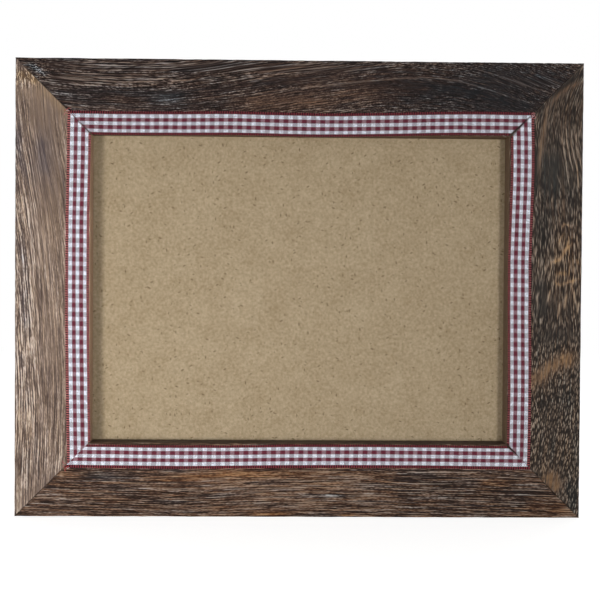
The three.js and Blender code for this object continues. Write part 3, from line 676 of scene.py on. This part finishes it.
def makeRail(side, seed):
    look = railLooks[side]
    halfRun, lying, place = sidePlace(side)
    lipY = glassLow[1]
    sawnY = backY - railSize["backSink"]
    section = easedSection([
        (0, faceY, railSize["outerArris"], railSize["faceStep"]),
        (railWidth, faceY, railSize["sightArris"], railSize["wallStep"]),
        (railWidth, lipY, 0, railSize["backStep"]),
        (rebateWall, lipY, 0, railSize["backStep"]),
        (rebateWall, sawnY, 0, railSize["backStep"]),
        (0, sawnY, railSize["backArris"], railSize["wallStep"]),
    ])
    sectionIn, sectionDepth = section.T
    tangent = np.roll(section, -1, 0) - np.roll(section, 1, 0)
    outward = np.stack((tangent[:, 1], -tangent[:, 0]), 1)
    outward /= np.linalg.norm(outward, axis=1, keepdims=True)
    steps = round(2 * halfRun / railSize["alongStep"])
    share = np.linspace(-1, 1, steps + 1)[:, None]
    inward = np.broadcast_to(sectionIn, (steps + 1, len(section)))
    depth = np.broadcast_to(sectionDepth, inward.shape)
    openness = np.clip(1 - (depth - faceY) / railSize["mitreDepth"], 0, 1)
    run = share * (halfRun - inward - railSize["mitreLine"] * math.sqrt(2) * openness)
    x, z = place(run, inward)
    along, across = (x, z) if lying else (z, x)
    # the grain follows the bend of the growth rings, and wanders a little
    wander = layeredNoise(along, across, railSize["wanders"], seed) * look["wander"]
    outerBend = curveThrough(look["bend"], along)
    sightBend = curveThrough(look.get("sightBend", look["bend"]), along)
    grainAcross = across - outerBend - (sightBend - outerBend) * inward / railWidth + wander
    grainAlong = curveThrough(look["stretch"], along) if "stretch" in look else along
    for centreAlong, centreAcross, reachAlong, reachAcross in look["knots"]:
        weight = np.exp(-((across - centreAcross) / reachAcross) ** 2)
        shorter = reachAlong * np.tanh((along - centreAlong) / reachAlong)
        grainAlong = grainAlong + weight * railSize["knotShort"] * shorter
    # the brush leaves ridges on the face, fewer on the sight wall and none on the back, which has saw marks
    leaning = grainAcross + railSize["reliefLean"] * depth
    ridge = layeredNoise(grainAlong, leaning, railSize["reliefs"], seed + 2)
    slack, facing, cap = railSize["slack"], railSize["facing"], railSize["reliefCap"]
    onBack = (outward[:, 1] > facing) * 1.0
    onWall = ((sectionIn > rebateWall - slack) & (outward[:, 0] > facing)) * 1.0
    underRibbon = 1 / (1 + np.exp((railWidth - ribbonWidth - sectionIn) / railSize["ribbonEase"]))
    underRibbon = underRibbon * (outward[:, 1] < railSize["frontFacing"])
    height = railSize["brushDepth"] * (1 - onBack) * (1 - underRibbon)
    height = height * (1 - railSize["wallSpared"] * onWall)
    endEase = np.clip((1 - np.abs(share)) * halfRun / railSize["endEase"], 0, 1)
    sawWidth, sawLength = railSize["sawMark"]
    sawMarks = railSize["sawDepth"] * latticeNoise(along / sawWidth, across / sawLength, seed + 4) * onBack
    lift = ((np.minimum(ridge, cap) - cap) * height + (sawMarks - railSize["sawDepth"]) * onBack) * endEase
    liftedX, liftedZ = place(run, inward + outward[:, 0] * lift)
    points = np.stack((liftedX, depth + outward[:, 1] * lift, liftedZ), 2).reshape(-1, 3)
    wood = brushedWood("scorched_brushed_wood_" + side, look)
    piece = makePiece(side + "_rail_wood", points, tubeFaces(steps + 1, len(section)), wood,
                      railSize["smooth"], side + "_rail")
    tone = np.full(x.shape, 0.5)                   # the middle of the wood's ramps
    hue = np.zeros(x.shape)
    contrast = np.ones(x.shape)
    for strokePoints, halfWidth, strokeTone, strokeHue, calm in look["strokes"]:
        weight = strokeWeight(strokePoints, halfWidth, x, z)
        if halfWidth > railSize["fineLine"]:
            weight = weight * np.clip(1 + railSize["broken"] * ridge, *railSize["brokenRange"])
        tone += weight * strokeTone
        hue += weight * strokeHue
        contrast -= weight * calm
    onArris = (sectionIn > railWidth - railSize["stainReach"]) & (onWall < 0.5)
    onArris = onArris & (sectionDepth < lipY - slack)
    # the arris beside the ribbon drawn darker: partly painted shade of the ribbon's edge, partly glue
    tone += look["arris"] * onArris
    band = latticeNoise(grainAlong / railSize["bandLength"], grainAcross / railSize["bandWidth"], seed + 7)
    contrast = np.clip(contrast, *railSize["contrastRange"]) * (1 + railSize["bandShare"] * band)
    stained = railSize["wallStain"] * np.maximum(onWall, railSize["arrisStain"] * onArris)
    bare = np.maximum(onBack, (sectionDepth > lipY - slack) * (sectionIn > railSize["bareFrom"]) * 1.0)
    storeVectors(piece, "grain", grainAlong, grainAcross, depth)
    storeVectors(piece, "figure", tone, np.clip(hue, -1, 1), contrast)
    storeVectors(piece, "finish", stained, bare, ridge)
    return piece


firstSeed, seedStep = railSize["seeds"]
rails = {side: makeRail(side, firstSeed + seedStep * i) for i, side in enumerate(railLooks)}
print("rails brushed:", [len(rail.data.polygons) for rail in rails.values()])


# Ribbons: four lengths of woven gingham glued round the sight edge, their ends cut to a mitre; lengths in mm
ribbonWeave = {
    "checkLength": 4.245,    # from check to check along the ribbon
    "stripes": (1.35, 3.08, 4.78, 6.38, 8.22, 9.70),   # edges from the outer selvage: white, red, and so on
    "weftBalance": 0.12,     # how much wider the red wefts are than the white
    "weftEdge": 0.04,
    "stripeBlur": 0.02,      # over which one stripe's last thread gives way to the next
    "thread": 0.42,          # real threads lie about 0.25 apart, drawn coarser so that they show
    "warpCover": 0.80,       # share of the face that a red warp shows under a white weft
    "weftCover": 0.46,
    "fuzz": 0.85,            # bumps of fuzz to a thread
    "strayRange": (0.3, 1.7),
    "stray": 1.6,            # how far single threads tell where the two colours cross
    "white": "#eaeff9",
    "redUnderWhite": "#7c2b39",
    "redUnderRed": "#6d2c3b",
    "redAmongWhite": "#562c44",
    "selvage": "#8b3a43",
    # painted shade: the dark that a selvage is drawn to between its weft turns
    "selvageDipShade": "#281116",
    # painted highlight: the pale colour a selvage is drawn towards where light catches its raised edge
    "selvageHighlight": "#e08c88",
    "selvagePitch": 1.1,     # between the weft's turns round the edge, drawn coarser so that they show
    "selvageEdge": 0.4,      # how softly a turn sinks into the next
    "wear": (0.64, 1.30),    # darkest and palest of single threads
    "wearRange": (0.3, 0.7), # nearly all of a noise lies between these
    "gapShadeColour": "#2c1a1c",     # painted shade along a cut end, where a corner gap opens beside it
    "rough": (0.78, 0.95),
    "sheen": 0.15,
    "specular": 0.25,
    "bump": (0.5, 0.06),     # strength, and height of a thread
    "seeds": (203, 10),      # the first ribbon's seed, and the step to the next
    "smooth": 60,            # degrees
    "alongStep": 0.8,
    "acrossSteps": 18,
    "gap": 0.03,             # glue under it
    "thickness": 0.34,
    "edgeThickness": 0.45,   # share of it that is left at a selvage
    "edgeRound": 0.35,
    "pucker": 0.10,          # that it lifts between the glue spots
    "puckers": [(6, 6.75, 1.0), (2.1, 3.6, 0.5)],      # length, width and share
    "edgeWander": 0.07,      # that its edges stray
    "wanders": [(17, 9, 1.0), (5, 9, 0.4)],            # length, width and share
    "wanderEase": 5,         # over which that dies away towards a cut
    "singed": 0.6,           # how far that painted shade runs in from the cut
    "singedGap": 0.25,       # the gap at a corner from which the painted shade shows in full
}
# check is where a pale check lies, slant how far the weft leans across, the third how much paler the
# selvages are drawn (painted highlight where light catches their raised edges, most on the left), the fourth
# the share of light left on the ribbon (painted shade, strongest on the top ribbon)
# course is how far off its line the ribbon was glued at points along it
# low and high are the gap left at each end: at the outer selvage, halfway, at the sight edge
ribbonPlaces = {             # mm
    "bottom": {"check": 3.12, "slant": 0.30, "selvageLight": 0.0, "ribbonShade": 1.0,
               "low": (0.0, 0.0, 0.05), "high": (0.0, 0.05, 0.50),
               "course": [(-107, -0.9), (-53, -1.3), (0, -0.7), (36, -0.6), (107, -1.0)]},
    "top": {"check": 3.83, "slant": -0.13, "selvageLight": 0.0, "ribbonShade": 0.86,
            "low": (0.06, 0.12, 0.20), "high": (0.0, 0.25, 0.70),
            "course": [(-107, 0.5), (-71, 0.65), (-27, 0.25), (9, 0.7), (36, 0.3), (71, -0.65),
                       (107, -0.65)]},
    "left": {"check": 2.45, "slant": -0.30, "selvageLight": 0.55, "ribbonShade": 0.98,
             "low": (0.0, 0.0, 0.05), "high": (0.06, 0.12, 0.20),
             "course": [(-82, 0.6), (-51, 0.15), (-13, -0.45), (25, -0.45), (64, 0.15), (82, 0.4)]},
    "right": {"check": 2.11, "slant": 0.35, "selvageLight": 0.25, "ribbonShade": 0.97,
              "low": (0.0, 0.05, 0.50), "high": (0.0, 0.25, 0.70),
              "course": [(-82, -0.3), (-51, -0.6), (0, -0.05), (13, 0.0), (38, -0.6), (51, -0.9),
                         (82, -0.6)]},
}


def wovenGingham():
    # plain-woven dyed cotton: crisp checks, half-tones where red threads cross white, a soft dry face
    material, add, shader = startMaterial("woven_cotton_gingham")
    weave, cut = (add("Attribute", attribute_name=stored).outputs["Vector"] for stored in ("weave", "cut"))
    place, cut = (add("SeparateXYZ", {0: stored}).outputs for stored in (weave, cut))
    look, edges, soft = ribbonWeave, ribbonWeave["stripes"], ribbonWeave["stripeBlur"]
    stops = []
    for i, edge in enumerate(edges):
        before, after = ("#ffffff", "#000000") if i % 2 == 0 else ("#000000", "#ffffff")
        stops += [((edge - soft) / ribbonWidth, before), ((edge + soft) / ribbonWidth, after)]
    share = add("Math", {0: place["Y"], 1: ribbonWidth}, operation="DIVIDE")
    warpRed = add("ValToRGB", {0: share}, stops)
    turns = add("Math", {0: place["X"], 1: 2 * math.pi / look["checkLength"]}, operation="MULTIPLY")
    wave = add("Math", {0: turns}, operation="COSINE")
    balance, edge = look["weftBalance"], look["weftEdge"]
    weftRed = add("MapRange", {0: wave, 1: balance + edge, 2: balance - edge}, **eased)
    threads = add("VectorMath", {0: weave, 1: (look["thread"],) * 3}, operation="DIVIDE")
    crossing = add("TexChecker", {"Vector": threads, "Scale": 1.0})
    # the closer-set warp covers more than the weft, so a red warp tells more under white than the other way
    weftShare = add("MapRange", {0: warpRed, 3: look["weftCover"], 4: 1 - look["warpCover"]})
    redness = add("Math", {0: weftRed, 1: weftShare}, operation="MULTIPLY")
    redness = add("Math", {0: warpRed, 1: look["warpCover"], 2: redness}, operation="MULTIPLY_ADD")
    # single threads tell where the two colours cross
    fuzz = add("TexNoise", {"Vector": threads, "Scale": look["fuzz"], "Detail": 2.0})
    stray = add("Math", {0: crossing.outputs["Fac"], 1: fuzz}, operation="ADD")
    low, high = look["strayRange"]
    stray = add("MapRange", {0: stray, 1: low, 2: high, 3: -look["stray"], 4: look["stray"]})
    bare = add("Math", {0: 1.0, 1: redness}, operation="SUBTRACT")
    mixed = add("Math", {0: redness, 1: bare}, operation="MULTIPLY")
    redness = add("Math", {0: mixed, 1: stray, 2: redness}, operation="MULTIPLY_ADD", use_clamp=True)
    inWarp = add("Mix", {
        0: weftRed, 6: linear(look["redUnderWhite"]), 7: linear(look["redUnderRed"])}, **blend)
    dyed = add("Mix", {0: warpRed, 6: linear(look["redAmongWhite"]), 7: inWarp}, **blend)
    cloth = add("Mix", {0: redness, 6: linear(look["white"]), 7: dyed}, **blend)
    # the selvage is warped close in red, so no check shows through it
    fromMiddle = add("Math", {0: place["Y"], 1: (edges[0] + edges[-1]) / 2}, operation="SUBTRACT")
    fromMiddle = add("Math", {0: fromMiddle}, operation="ABSOLUTE")
    selvageStart = (edges[-1] - edges[0]) / 2
    selvage = add("MapRange", {0: fromMiddle, 1: selvageStart - soft, 2: selvageStart + soft})
    picks = add("Math", {0: place["X"], 1: 2 * math.pi / look["selvagePitch"]}, operation="MULTIPLY")
    picks = add("Math", {0: picks}, operation="SINE")
    picks = add("MapRange", {0: picks, 1: -look["selvageEdge"], 2: look["selvageEdge"]}, **eased)
    # painted highlight: each selvage drawn paler where light catches its raised edge, most on the left
    # ribbon
    turned = add("Mix", {
        0: cut["Y"], 6: linear(look["selvage"]), 7: linear(look["selvageHighlight"])}, **blend)
    # painted shade in the dips between the selvage's weft turns
    bound = add("Mix", {0: picks, 6: turned, 7: linear(look["selvageDipShade"])}, **blend)
    cloth = add("Mix", {0: selvage, 6: cloth, 7: bound}, **blend)
    # no two threads are spun or lit alike
    (low, high), (darkest, palest) = look["wearRange"], look["wear"]
    wear = add("MapRange", {0: fuzz, 1: low, 2: high, 3: darkest, 4: palest})
    # painted shade: each ribbon darkened as a whole by its share of light, the top one most
    wear = add("Math", {0: wear, 1: cut["Z"]}, operation="MULTIPLY")
    cloth = add("Mix", {0: 1.0, 6: cloth, 7: wear}, blend_type="MULTIPLY", **blend)
    # painted shade: the cut ends darkened where a corner gap opens beside them
    cloth = add("Mix", {0: cut["X"], 6: cloth, 7: linear(look["gapShadeColour"])}, **blend)
    rough = add("MapRange", {0: fuzz, 3: look["rough"][0], 4: look["rough"][1]})
    # each thread swells between its crossings
    rounded = add("VectorMath", {0: threads, "Scale": math.pi}, operation="SCALE")
    rounded = add("VectorMath", {0: rounded}, operation="SINE")
    swell = add("SeparateXYZ", {0: rounded}).outputs
    swell = add("Math", {0: swell["X"], 1: swell["Y"]}, operation="MULTIPLY")
    strength, height = look["bump"]
    bump = add("Bump", {"Strength": strength, "Distance": height * millimetre, "Height": swell})
    wire(shader, {"Base Color": cloth, "Roughness": rough, "Sheen Weight": look["sheen"],
                  "Specular IOR Level": look["specular"], "Normal": bump})
    return material


ginghamCloth = wovenGingham()


def makeRibbon(side, seed):
    glued = ribbonPlaces[side]
    halfRun, lying, place = sidePlace(side)
    outerEdge = railWidth - ribbonWidth
    steps = round(2 * (halfRun - outerEdge) / ribbonWeave["alongStep"])
    share = np.linspace(0, 1, steps + 1)[:, None]
    width = np.linspace(0, ribbonWidth, ribbonWeave["acrossSteps"] + 1)[None, :]
    part = width / ribbonWidth
    straight = halfRun - outerEdge - width
    lowGap, highGap = (np.interp(part, (0, 0.5, 1), glued[end]) for end in ("low", "high"))
    low = -(straight - curveThrough(glued["course"], -straight)) + lowGap
    high = straight - curveThrough(glued["course"], straight) - highGap
    run = low + (high - low) * share
    wander = layeredNoise(run, width, ribbonWeave["wanders"], seed) * ribbonWeave["edgeWander"]
    fromEnd = np.minimum(share, 1 - share) * (high - low)
    wander = wander * np.clip(fromEnd / ribbonWeave["wanderEase"], 0, 1)
    x, z = place(run, outerEdge + width + curveThrough(glued["course"], run) + wander)
    pucker = ribbonWeave["pucker"] * sum(
        gain * np.maximum(0, latticeNoise(run / length, width / across, seed + 2 + i))
        for i, (length, across, gain) in enumerate(ribbonWeave["puckers"]))
    edgeThin = np.sqrt(np.clip(np.minimum(part, 1 - part) * ribbonWidth / ribbonWeave["edgeRound"], 0, 1))
    thin = ribbonWeave["edgeThickness"]
    under = np.full(x.shape, faceY - ribbonWeave["gap"])
    over = under - ribbonWeave["thickness"] * (thin + (1 - thin) * edgeThin) - pucker
    points = np.stack((np.stack((x, over, z), 2), np.stack((x, under, z), 2))).reshape(-1, 3)
    index = np.arange(x.size).reshape(x.shape)
    face = np.stack((index[:-1, :-1], index[1:, :-1], index[1:, 1:], index[:-1, 1:]), 2).reshape(-1, 4)
    rim = np.concatenate((index[0, :-1], index[:-1, -1], index[-1, :0:-1], index[:0:-1, 0]))
    rimNext = np.roll(rim, -1)
    sides = np.stack((rim, rimNext, rimNext + x.size, rim + x.size), 1)
    faces = np.concatenate((face, face[:, ::-1] + x.size, sides)).tolist()
    piece = makePiece("gingham_ribbon_" + side, points, faces, ginghamCloth,
                      ribbonWeave["smooth"], "ribbon_" + side)
    weft = (x if lying else z) - glued["check"] - glued["slant"] * part
    openEnd = np.where(share < 0.5, lowGap, highGap)
    # painted shade along each cut end, deepest where the corner gap is widest
    singed = np.clip(1 - fromEnd / ribbonWeave["singed"], 0, 1)
    singed = singed * np.clip(openEnd / ribbonWeave["singedGap"], 0, 1)
    storeVectors(piece, "weave", weft, width, 0.5 * ribbonWeave["thread"], layers=2)
    storeVectors(piece, "cut", singed, glued["selvageLight"], glued["ribbonShade"], layers=2)
    return piece


firstSeed, seedStep = ribbonWeave["seeds"]
ribbons = {side: makeRibbon(side, firstSeed + seedStep * i) for i, side in enumerate(ribbonPlaces)}
print("ribbons laid:", [len(ribbon.data.polygons) for ribbon in ribbons.values()])


# Frayed ends: threads pulled loose where the ribbons were cut; lengths in mm
frayLook = {
    "radius": 0.13,          # a real thread is about 0.1, drawn a little thicker so that it shows
    "steps": 12,
    "sides": 6,
    "smooth": 80,            # degrees
    "tip": (0.4, 2.0),       # a thread's share of its radius at the tip, and how fast it swells from there
    "red": "#b23a30",
    "white": "#e2d6da",
    "twist": 1 / 3,          # from one turn of the twist to the next
    "twistLight": (0.7, 1.2),
    "rough": 0.9,
    "sheen": 0.2,
}
frayStrands = {              # points as x, z and lift off the wood in mm, then how red the thread is
    "top_left": [
        ([(-105.9, 186.4, 0.4), (-107.3, 187.6, 0.8), (-108.6, 186.9, 0.2)], 1.0),
        ([(-106.6, 186.6, 0.4), (-106.9, 188.1, 0.6), (-105.3, 188.2, 0.2)], 1.0),
        ([(-106.8, 186.0, 0.4), (-108.2, 186.1, 0.5), (-108.7, 184.8, 0.2)], 0.8),
        ([(-106.2, 186.9, 0.5), (-106.9, 187.3, 1.0), (-107.5, 187.0, 0.6)], 0.1),
    ],
    "top_right": [
        ([(106.6, 187.4, 0.4), (107.6, 188.2, 0.7), (108.6, 187.6, 0.2)], 0.8),
        ([(107.2, 186.4, 0.5), (108.1, 186.9, 0.8), (107.4, 187.9, 0.3)], 0.6),
        ([(107.6, 185.2, 0.5), (108.5, 185.9, 0.7), (108.2, 187.0, 0.3)], 0.8),
        ([(106.9, 185.9, 0.5), (107.5, 186.5, 0.8), (106.9, 187.1, 0.5)], 0.3),
    ],
    "bottom_left": [
        ([(-105.8, 23.6, 0.4), (-107.6, 22.9, 0.9), (-108.8, 23.9, 0.2)], 1.0),
        ([(-106.3, 23.2, 0.4), (-107.9, 21.9, 0.6), (-107.1, 20.9, 0.2)], 1.0),
        ([(-106.9, 24.4, 0.4), (-108.4, 24.9, 0.6), (-108.9, 26.2, 0.2)], 0.9),
        ([(-105.6, 22.9, 0.5), (-106.4, 22.4, 1.0), (-106.9, 22.9, 0.5)], 0.1),
    ],
}
# spun and dyed cotton: dull and soft, paler where its twist turns the light
threadCotton, add, shader = startMaterial("spun_cotton_thread")
dye = add("SeparateXYZ", {0: add("Attribute", attribute_name="dye").outputs["Vector"]})
place = add("TexCoord").outputs["Object"]
twist = add("TexNoise", {"Vector": place, "Scale": 1 / (frayLook["twist"] * millimetre), "Detail": 1.0})
# painted highlight: the thread drawn whiter where its twist catches the light
twistLight = add("MapRange", {0: twist, 3: frayLook["twistLight"][0], 4: frayLook["twistLight"][1]})
redShare = add("Math", {0: dye.outputs["X"], 1: twistLight}, operation="MULTIPLY", use_clamp=True)
colour = add("Mix", {0: redShare, 6: linear(frayLook["white"]), 7: linear(frayLook["red"])}, **blend)
wire(shader, {"Base Color": colour, "Roughness": frayLook["rough"], "Sheen Weight": frayLook["sheen"]})


def makeFray(corner, strands):
    points, faces, dyes = [], [], []
    rings, sides = frayLook["steps"] + 1, frayLook["sides"]
    tip, swelling = frayLook["tip"]
    for bends, red in strands:
        at = np.linspace(0, len(bends) - 1, rings)
        x, z, lift = (curveThrough([(i, bend[k]) for i, bend in enumerate(bends)], at) for k in range(3))
        middle = np.stack((x, faceY - lift, z), 1)
        heading = np.gradient(middle, axis=0)
        heading /= np.linalg.norm(heading, axis=1, keepdims=True)
        aside = np.cross(heading, (0, 1, 0))
        aside /= np.linalg.norm(aside, axis=1, keepdims=True)
        above = np.cross(aside, heading)
        angle = np.linspace(0, 2 * math.pi, sides, endpoint=False)[None, :, None]
        radius = frayLook["radius"] * np.clip(tip + np.minimum(at, at[::-1]) * swelling, 0, 1)
        ringOut = aside[:, None] * np.cos(angle) + above[:, None] * np.sin(angle)
        faces += tubeFaces(rings, sides, len(points))
        points += (middle[:, None] + radius[:, None, None] * ringOut).reshape(-1, 3).tolist()
        dyes += [red] * (rings * sides)
    piece = makePiece("frayed_threads_" + corner, points, faces, threadCotton,
                      frayLook["smooth"])
    storeVectors(piece, "dye", dyes, 0, 0)
    return piece


frays = [makeFray(corner, strands) for corner, strands in frayStrands.items()]
print("ends frayed:", len(frays), "corners")


# Hardboard: the backing board and the strut; lengths in mm
boardLook = {
    "face": "#bca382",
    "pale": "#dfc8a9",
    "fleck": "#7c6443",
    "fleckShow": 0.85,
    "fleckSpacing": 2.4,     # between dark fibres
    "fleckShape": (1.8, 1.0, 0.6),     # a fibre's length, width and depth, as shares of the spacing
    "fleckTurns": (0.4, 1.5, 2.6),     # loose fibres lie every way
    "fleckShift": (7, 3, 5),           # keeps the ways apart
    "fleckRarity": 0.45,     # the share of places that hold no fibre
    "fleckReach": 0.22,
    "fleckEdge": 0.06,
    "pulp": 1.1,             # across a clump of pulp
    "mottle": 11.0,          # across a cloudy patch
    "mottleShare": 0.4,
    "tones": (0.42, 0.96),
    "screen": 1.3,           # between the wires that the wet board was pressed on
    "rough": (0.5, 0.75),
    "specular": 0.3,
    "pulpHeight": 0.4,       # beside the screen's print
    "bump": (0.5, 0.1),      # strength, and depth of the print
}


def pressedHardboard(name, look):
    # wood fibre pressed smooth on one face, with a wire screen's print on the other: tan with dark fibres
    material, add, shader = startMaterial(name)
    coordinates = add("TexCoord").outputs
    inMm = add("VectorMath", {0: coordinates["Object"], "Scale": 1 / millimetre}, operation="SCALE")
    cloud = add("VectorMath", {0: inMm, "Scale": 1 / look["mottle"]}, operation="SCALE")
    cloud = add("TexNoise", {"Vector": cloud, "Scale": 1.0, "Detail": 4.0})
    pulp = add("TexNoise", {"Vector": inMm, "Scale": 1 / look["pulp"], "Detail": 2.0})
    tone = add("Math", {0: cloud, 1: look["mottleShare"], 2: pulp}, operation="MULTIPLY_ADD")
    tone = add("MapRange", {0: tone, 1: look["tones"][0], 2: look["tones"][1]})
    colour = add("Mix", {0: tone, 6: linear(look["face"]), 7: linear(look["pale"])}, **blend)
    for turned in look["fleckTurns"]:
        spun = add("Mapping", {
            "Vector": inMm, "Rotation": (0, turned, 0),
            "Location": [step * turned for step in look["fleckShift"]],
            "Scale": [look["fleckSpacing"] * share for share in look["fleckShape"]]}, vector_type="TEXTURE")
        cells = add("TexVoronoi", {"Vector": spun, "Scale": 1.0}).outputs
        sparse = add("SeparateXYZ", {0: cells["Color"]}).outputs["X"]
        reach = add("MapRange", {0: sparse, 1: look["fleckRarity"], 2: 1.0, 3: 0.0, 4: look["fleckReach"]})
        fleck = add("Math", {0: reach, 1: cells["Distance"]}, operation="SUBTRACT")
        fleck = add("MapRange", {0: fleck, 1: 0.0, 2: look["fleckEdge"], 3: 0.0, 4: look["fleckShow"]})
        colour = add("Mix", {0: fleck, 6: colour, 7: linear(look["fleck"])}, **blend)
    rough = add("MapRange", {0: pulp, 3: look["rough"][0], 4: look["rough"][1]})
    wires = add("VectorMath", {0: inMm, "Scale": 2 * math.pi / look["screen"]}, operation="SCALE")
    wires = add("VectorMath", {0: wires}, operation="SINE")
    wires = add("SeparateXYZ", {0: wires}).outputs
    grid = add("Math", {0: wires["X"], 1: wires["Z"]}, operation="MULTIPLY")
    facing = add("SeparateXYZ", {0: coordinates["Normal"]}).outputs["Y"]
    onBack = add("Math", {0: facing, 1: 0.5}, operation="GREATER_THAN")
    grid = add("Math", {0: grid, 1: onBack}, operation="MULTIPLY")
    height = add("Math", {0: pulp, 1: look["pulpHeight"], 2: grid}, operation="MULTIPLY_ADD")
    strength, depth = look["bump"]
    bump = add("Bump", {"Strength": strength, "Distance": depth * millimetre, "Height": height})
    wire(shader, {"Base Color": colour, "Roughness": rough, "Specular IOR Level": look["specular"],
                  "Normal": bump})
    return material


def dressNode(node, material):
    # a node that keeps its own shape gets its material
    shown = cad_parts[node].data.materials
    for i in range(len(shown)):
        shown[i] = material


dressNode("backing_board", pressedHardboard("pressed_hardboard", boardLook))
print("board dressed")


# Glass: float glass, cut and left plain
glassLook = {"tint": "#fdfefd", "ior": 1.52, "roughness": 0.01}
floatGlass, add, shader = startMaterial("float_glass")
# fire-polished flat, so it is clear, with a thin even sheen
wire(shader, {"Base Color": linear(glassLook["tint"]), "Transmission Weight": 1.0,
              "IOR": glassLook["ior"], "Roughness": glassLook["roughness"]})
clear = add("BsdfTransparent", {0: linear(glassLook["tint"])})
shadow = add("LightPath").outputs["Is Shadow Ray"]
letThrough = add("MixShader", {0: shadow, 1: shader, 2: clear})
wire(floatGlass.node_tree.nodes["Material Output"], {"Surface": letThrough})
dressNode("glass_pane", floatGlass)
print("glass dressed")


# Hardware: eased copies of the turned, pressed and driven metal, each in place of its node
# bloom is the width in mm of a cloudy patch, dull how dark the plating goes in it
metalLooks = {
    "zinc_plate": {
        "name": "pressed_zinc_plate", "colour": "#a9adb2", "rough": (0.30, 0.55), "bloom": 2.0, "dull": 0.5},
    "bright_steel": {
        "name": "drawn_bright_steel", "colour": "#c0c1c2", "rough": (0.22, 0.40), "bloom": 2.0, "dull": 0.6},
    "brassed_steel": {
        "name": "brass_plated_steel", "colour": "#c0a566", "rough": (0.24, 0.42), "bloom": 5 / 3,
        "dull": 0.75},
}
metalSurface = {
    "bloomRange": (0.3, 0.7),   # nearly all of a noise lies between these
    "bump": (0.2, 0.03),     # strength, and depth of the scuffs in mm
}


def platedMetal(look):
    # rolled or drawn metal under thin plating: bright, with a faint cloudy bloom and handling scuffs
    material, add, shader = startMaterial(look["name"])
    place = add("TexCoord").outputs["Object"]
    inMm = add("VectorMath", {0: place, "Scale": 1 / millimetre}, operation="SCALE")
    bloom = add("TexNoise", {"Vector": inMm, "Scale": 1 / look["bloom"], "Detail": 4.0})
    base = linear(look["colour"])
    dull = tuple(c * look["dull"] for c in base[:3]) + (1.0,)
    low, high = metalSurface["bloomRange"]
    clear = add("MapRange", {0: bloom, 1: low, 2: high})
    colour = add("Mix", {0: clear, 6: dull, 7: base}, **blend)
    rough = add("MapRange", {0: bloom, 1: low, 2: high, 3: look["rough"][0], 4: look["rough"][1]})
    strength, depth = metalSurface["bump"]
    bump = add("Bump", {"Strength": strength, "Distance": depth * millimetre, "Height": bloom})
    wire(shader, {"Base Color": colour, "Metallic": 1.0, "Roughness": rough, "Normal": bump})
    return material


finishes = {slot: platedMetal(look) for slot, look in metalLooks.items()}
strutLook = dict(boardLook, face="#8f7550", pale="#a88e68", fleck="#5a4429", mottle=16.0)
finishes["strut_board"] = pressedHardboard("pressed_hardboard_strut", strutLook)
easing = {
    "merge": 0.002,          # mm within which points are one
    "flat": 1,               # degrees; faces that meet flatter than this are one
    "sharp": 32,             # degrees from which an edge is eased
    "smooth": 35,            # degrees up to which an edge is shaded smooth
    "segments": 2,
}


def easedCopy(node, body, slot, edge):
    # the node's own shape with its edges taken off, as pressing, turning or sanding leaves them
    mesh = bpy.data.meshes.new(node + "_eased")
    work = bmesh.new()
    work.from_mesh(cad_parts[node].data)
    bmesh.ops.remove_doubles(work, verts=work.verts, dist=easing["merge"] * millimetre)
    flat, least = math.radians(easing["flat"]), math.radians(easing["sharp"])
    bmesh.ops.dissolve_limit(work, angle_limit=flat, verts=work.verts, edges=work.edges)
    sharp = [e for e in work.edges if len(e.link_faces) == 2 and e.calc_face_angle() > least]
    bmesh.ops.bevel(work, geom=sharp, offset=edge * millimetre, segments=easing["segments"], profile=0.5,
                    affect="EDGES", clamp_overlap=True)
    return finishPiece(mesh, work, finishes[slot], body, easing["smooth"], node)


fittings = []                # node, body, slot, and the mm that its edges are eased by
for place in ("top_left", "top_right", "left", "right", "bottom_left", "bottom_right"):
    fittings += [("turn_button_" + place, "button_" + place, "zinc_plate", 0.25),
                 ("button_screw_" + place, "frame", "bright_steel", 0.12)]
fittings += [("hinge_board_leaf", "frame", "brassed_steel", 0.12),
             ("hinge_leg_leaf", "strut", "brassed_steel", 0.12),
             ("hinge_pin", "frame", "bright_steel", 0.15)]
for hand in ("left", "right"):
    fittings += [("hinge_board_screw_" + hand, "frame", "brassed_steel", 0.1),
                 ("hinge_leg_screw_" + hand, "strut", "brassed_steel", 0.1),
                 ("hanger_nail_" + hand, "frame", "bright_steel", 0.1)]
fittings += [("sawtooth_hanger", "frame", "zinc_plate", 0.1),
             ("strut_leg", "strut", "strut_board", 0.3)]
hardware = [easedCopy(*fitting) for fitting in fittings]
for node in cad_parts:
    if node.startswith("v_nail_"):
        dressNode(node, finishes["bright_steel"])
print("hardware fitted:", len(hardware), "pieces")
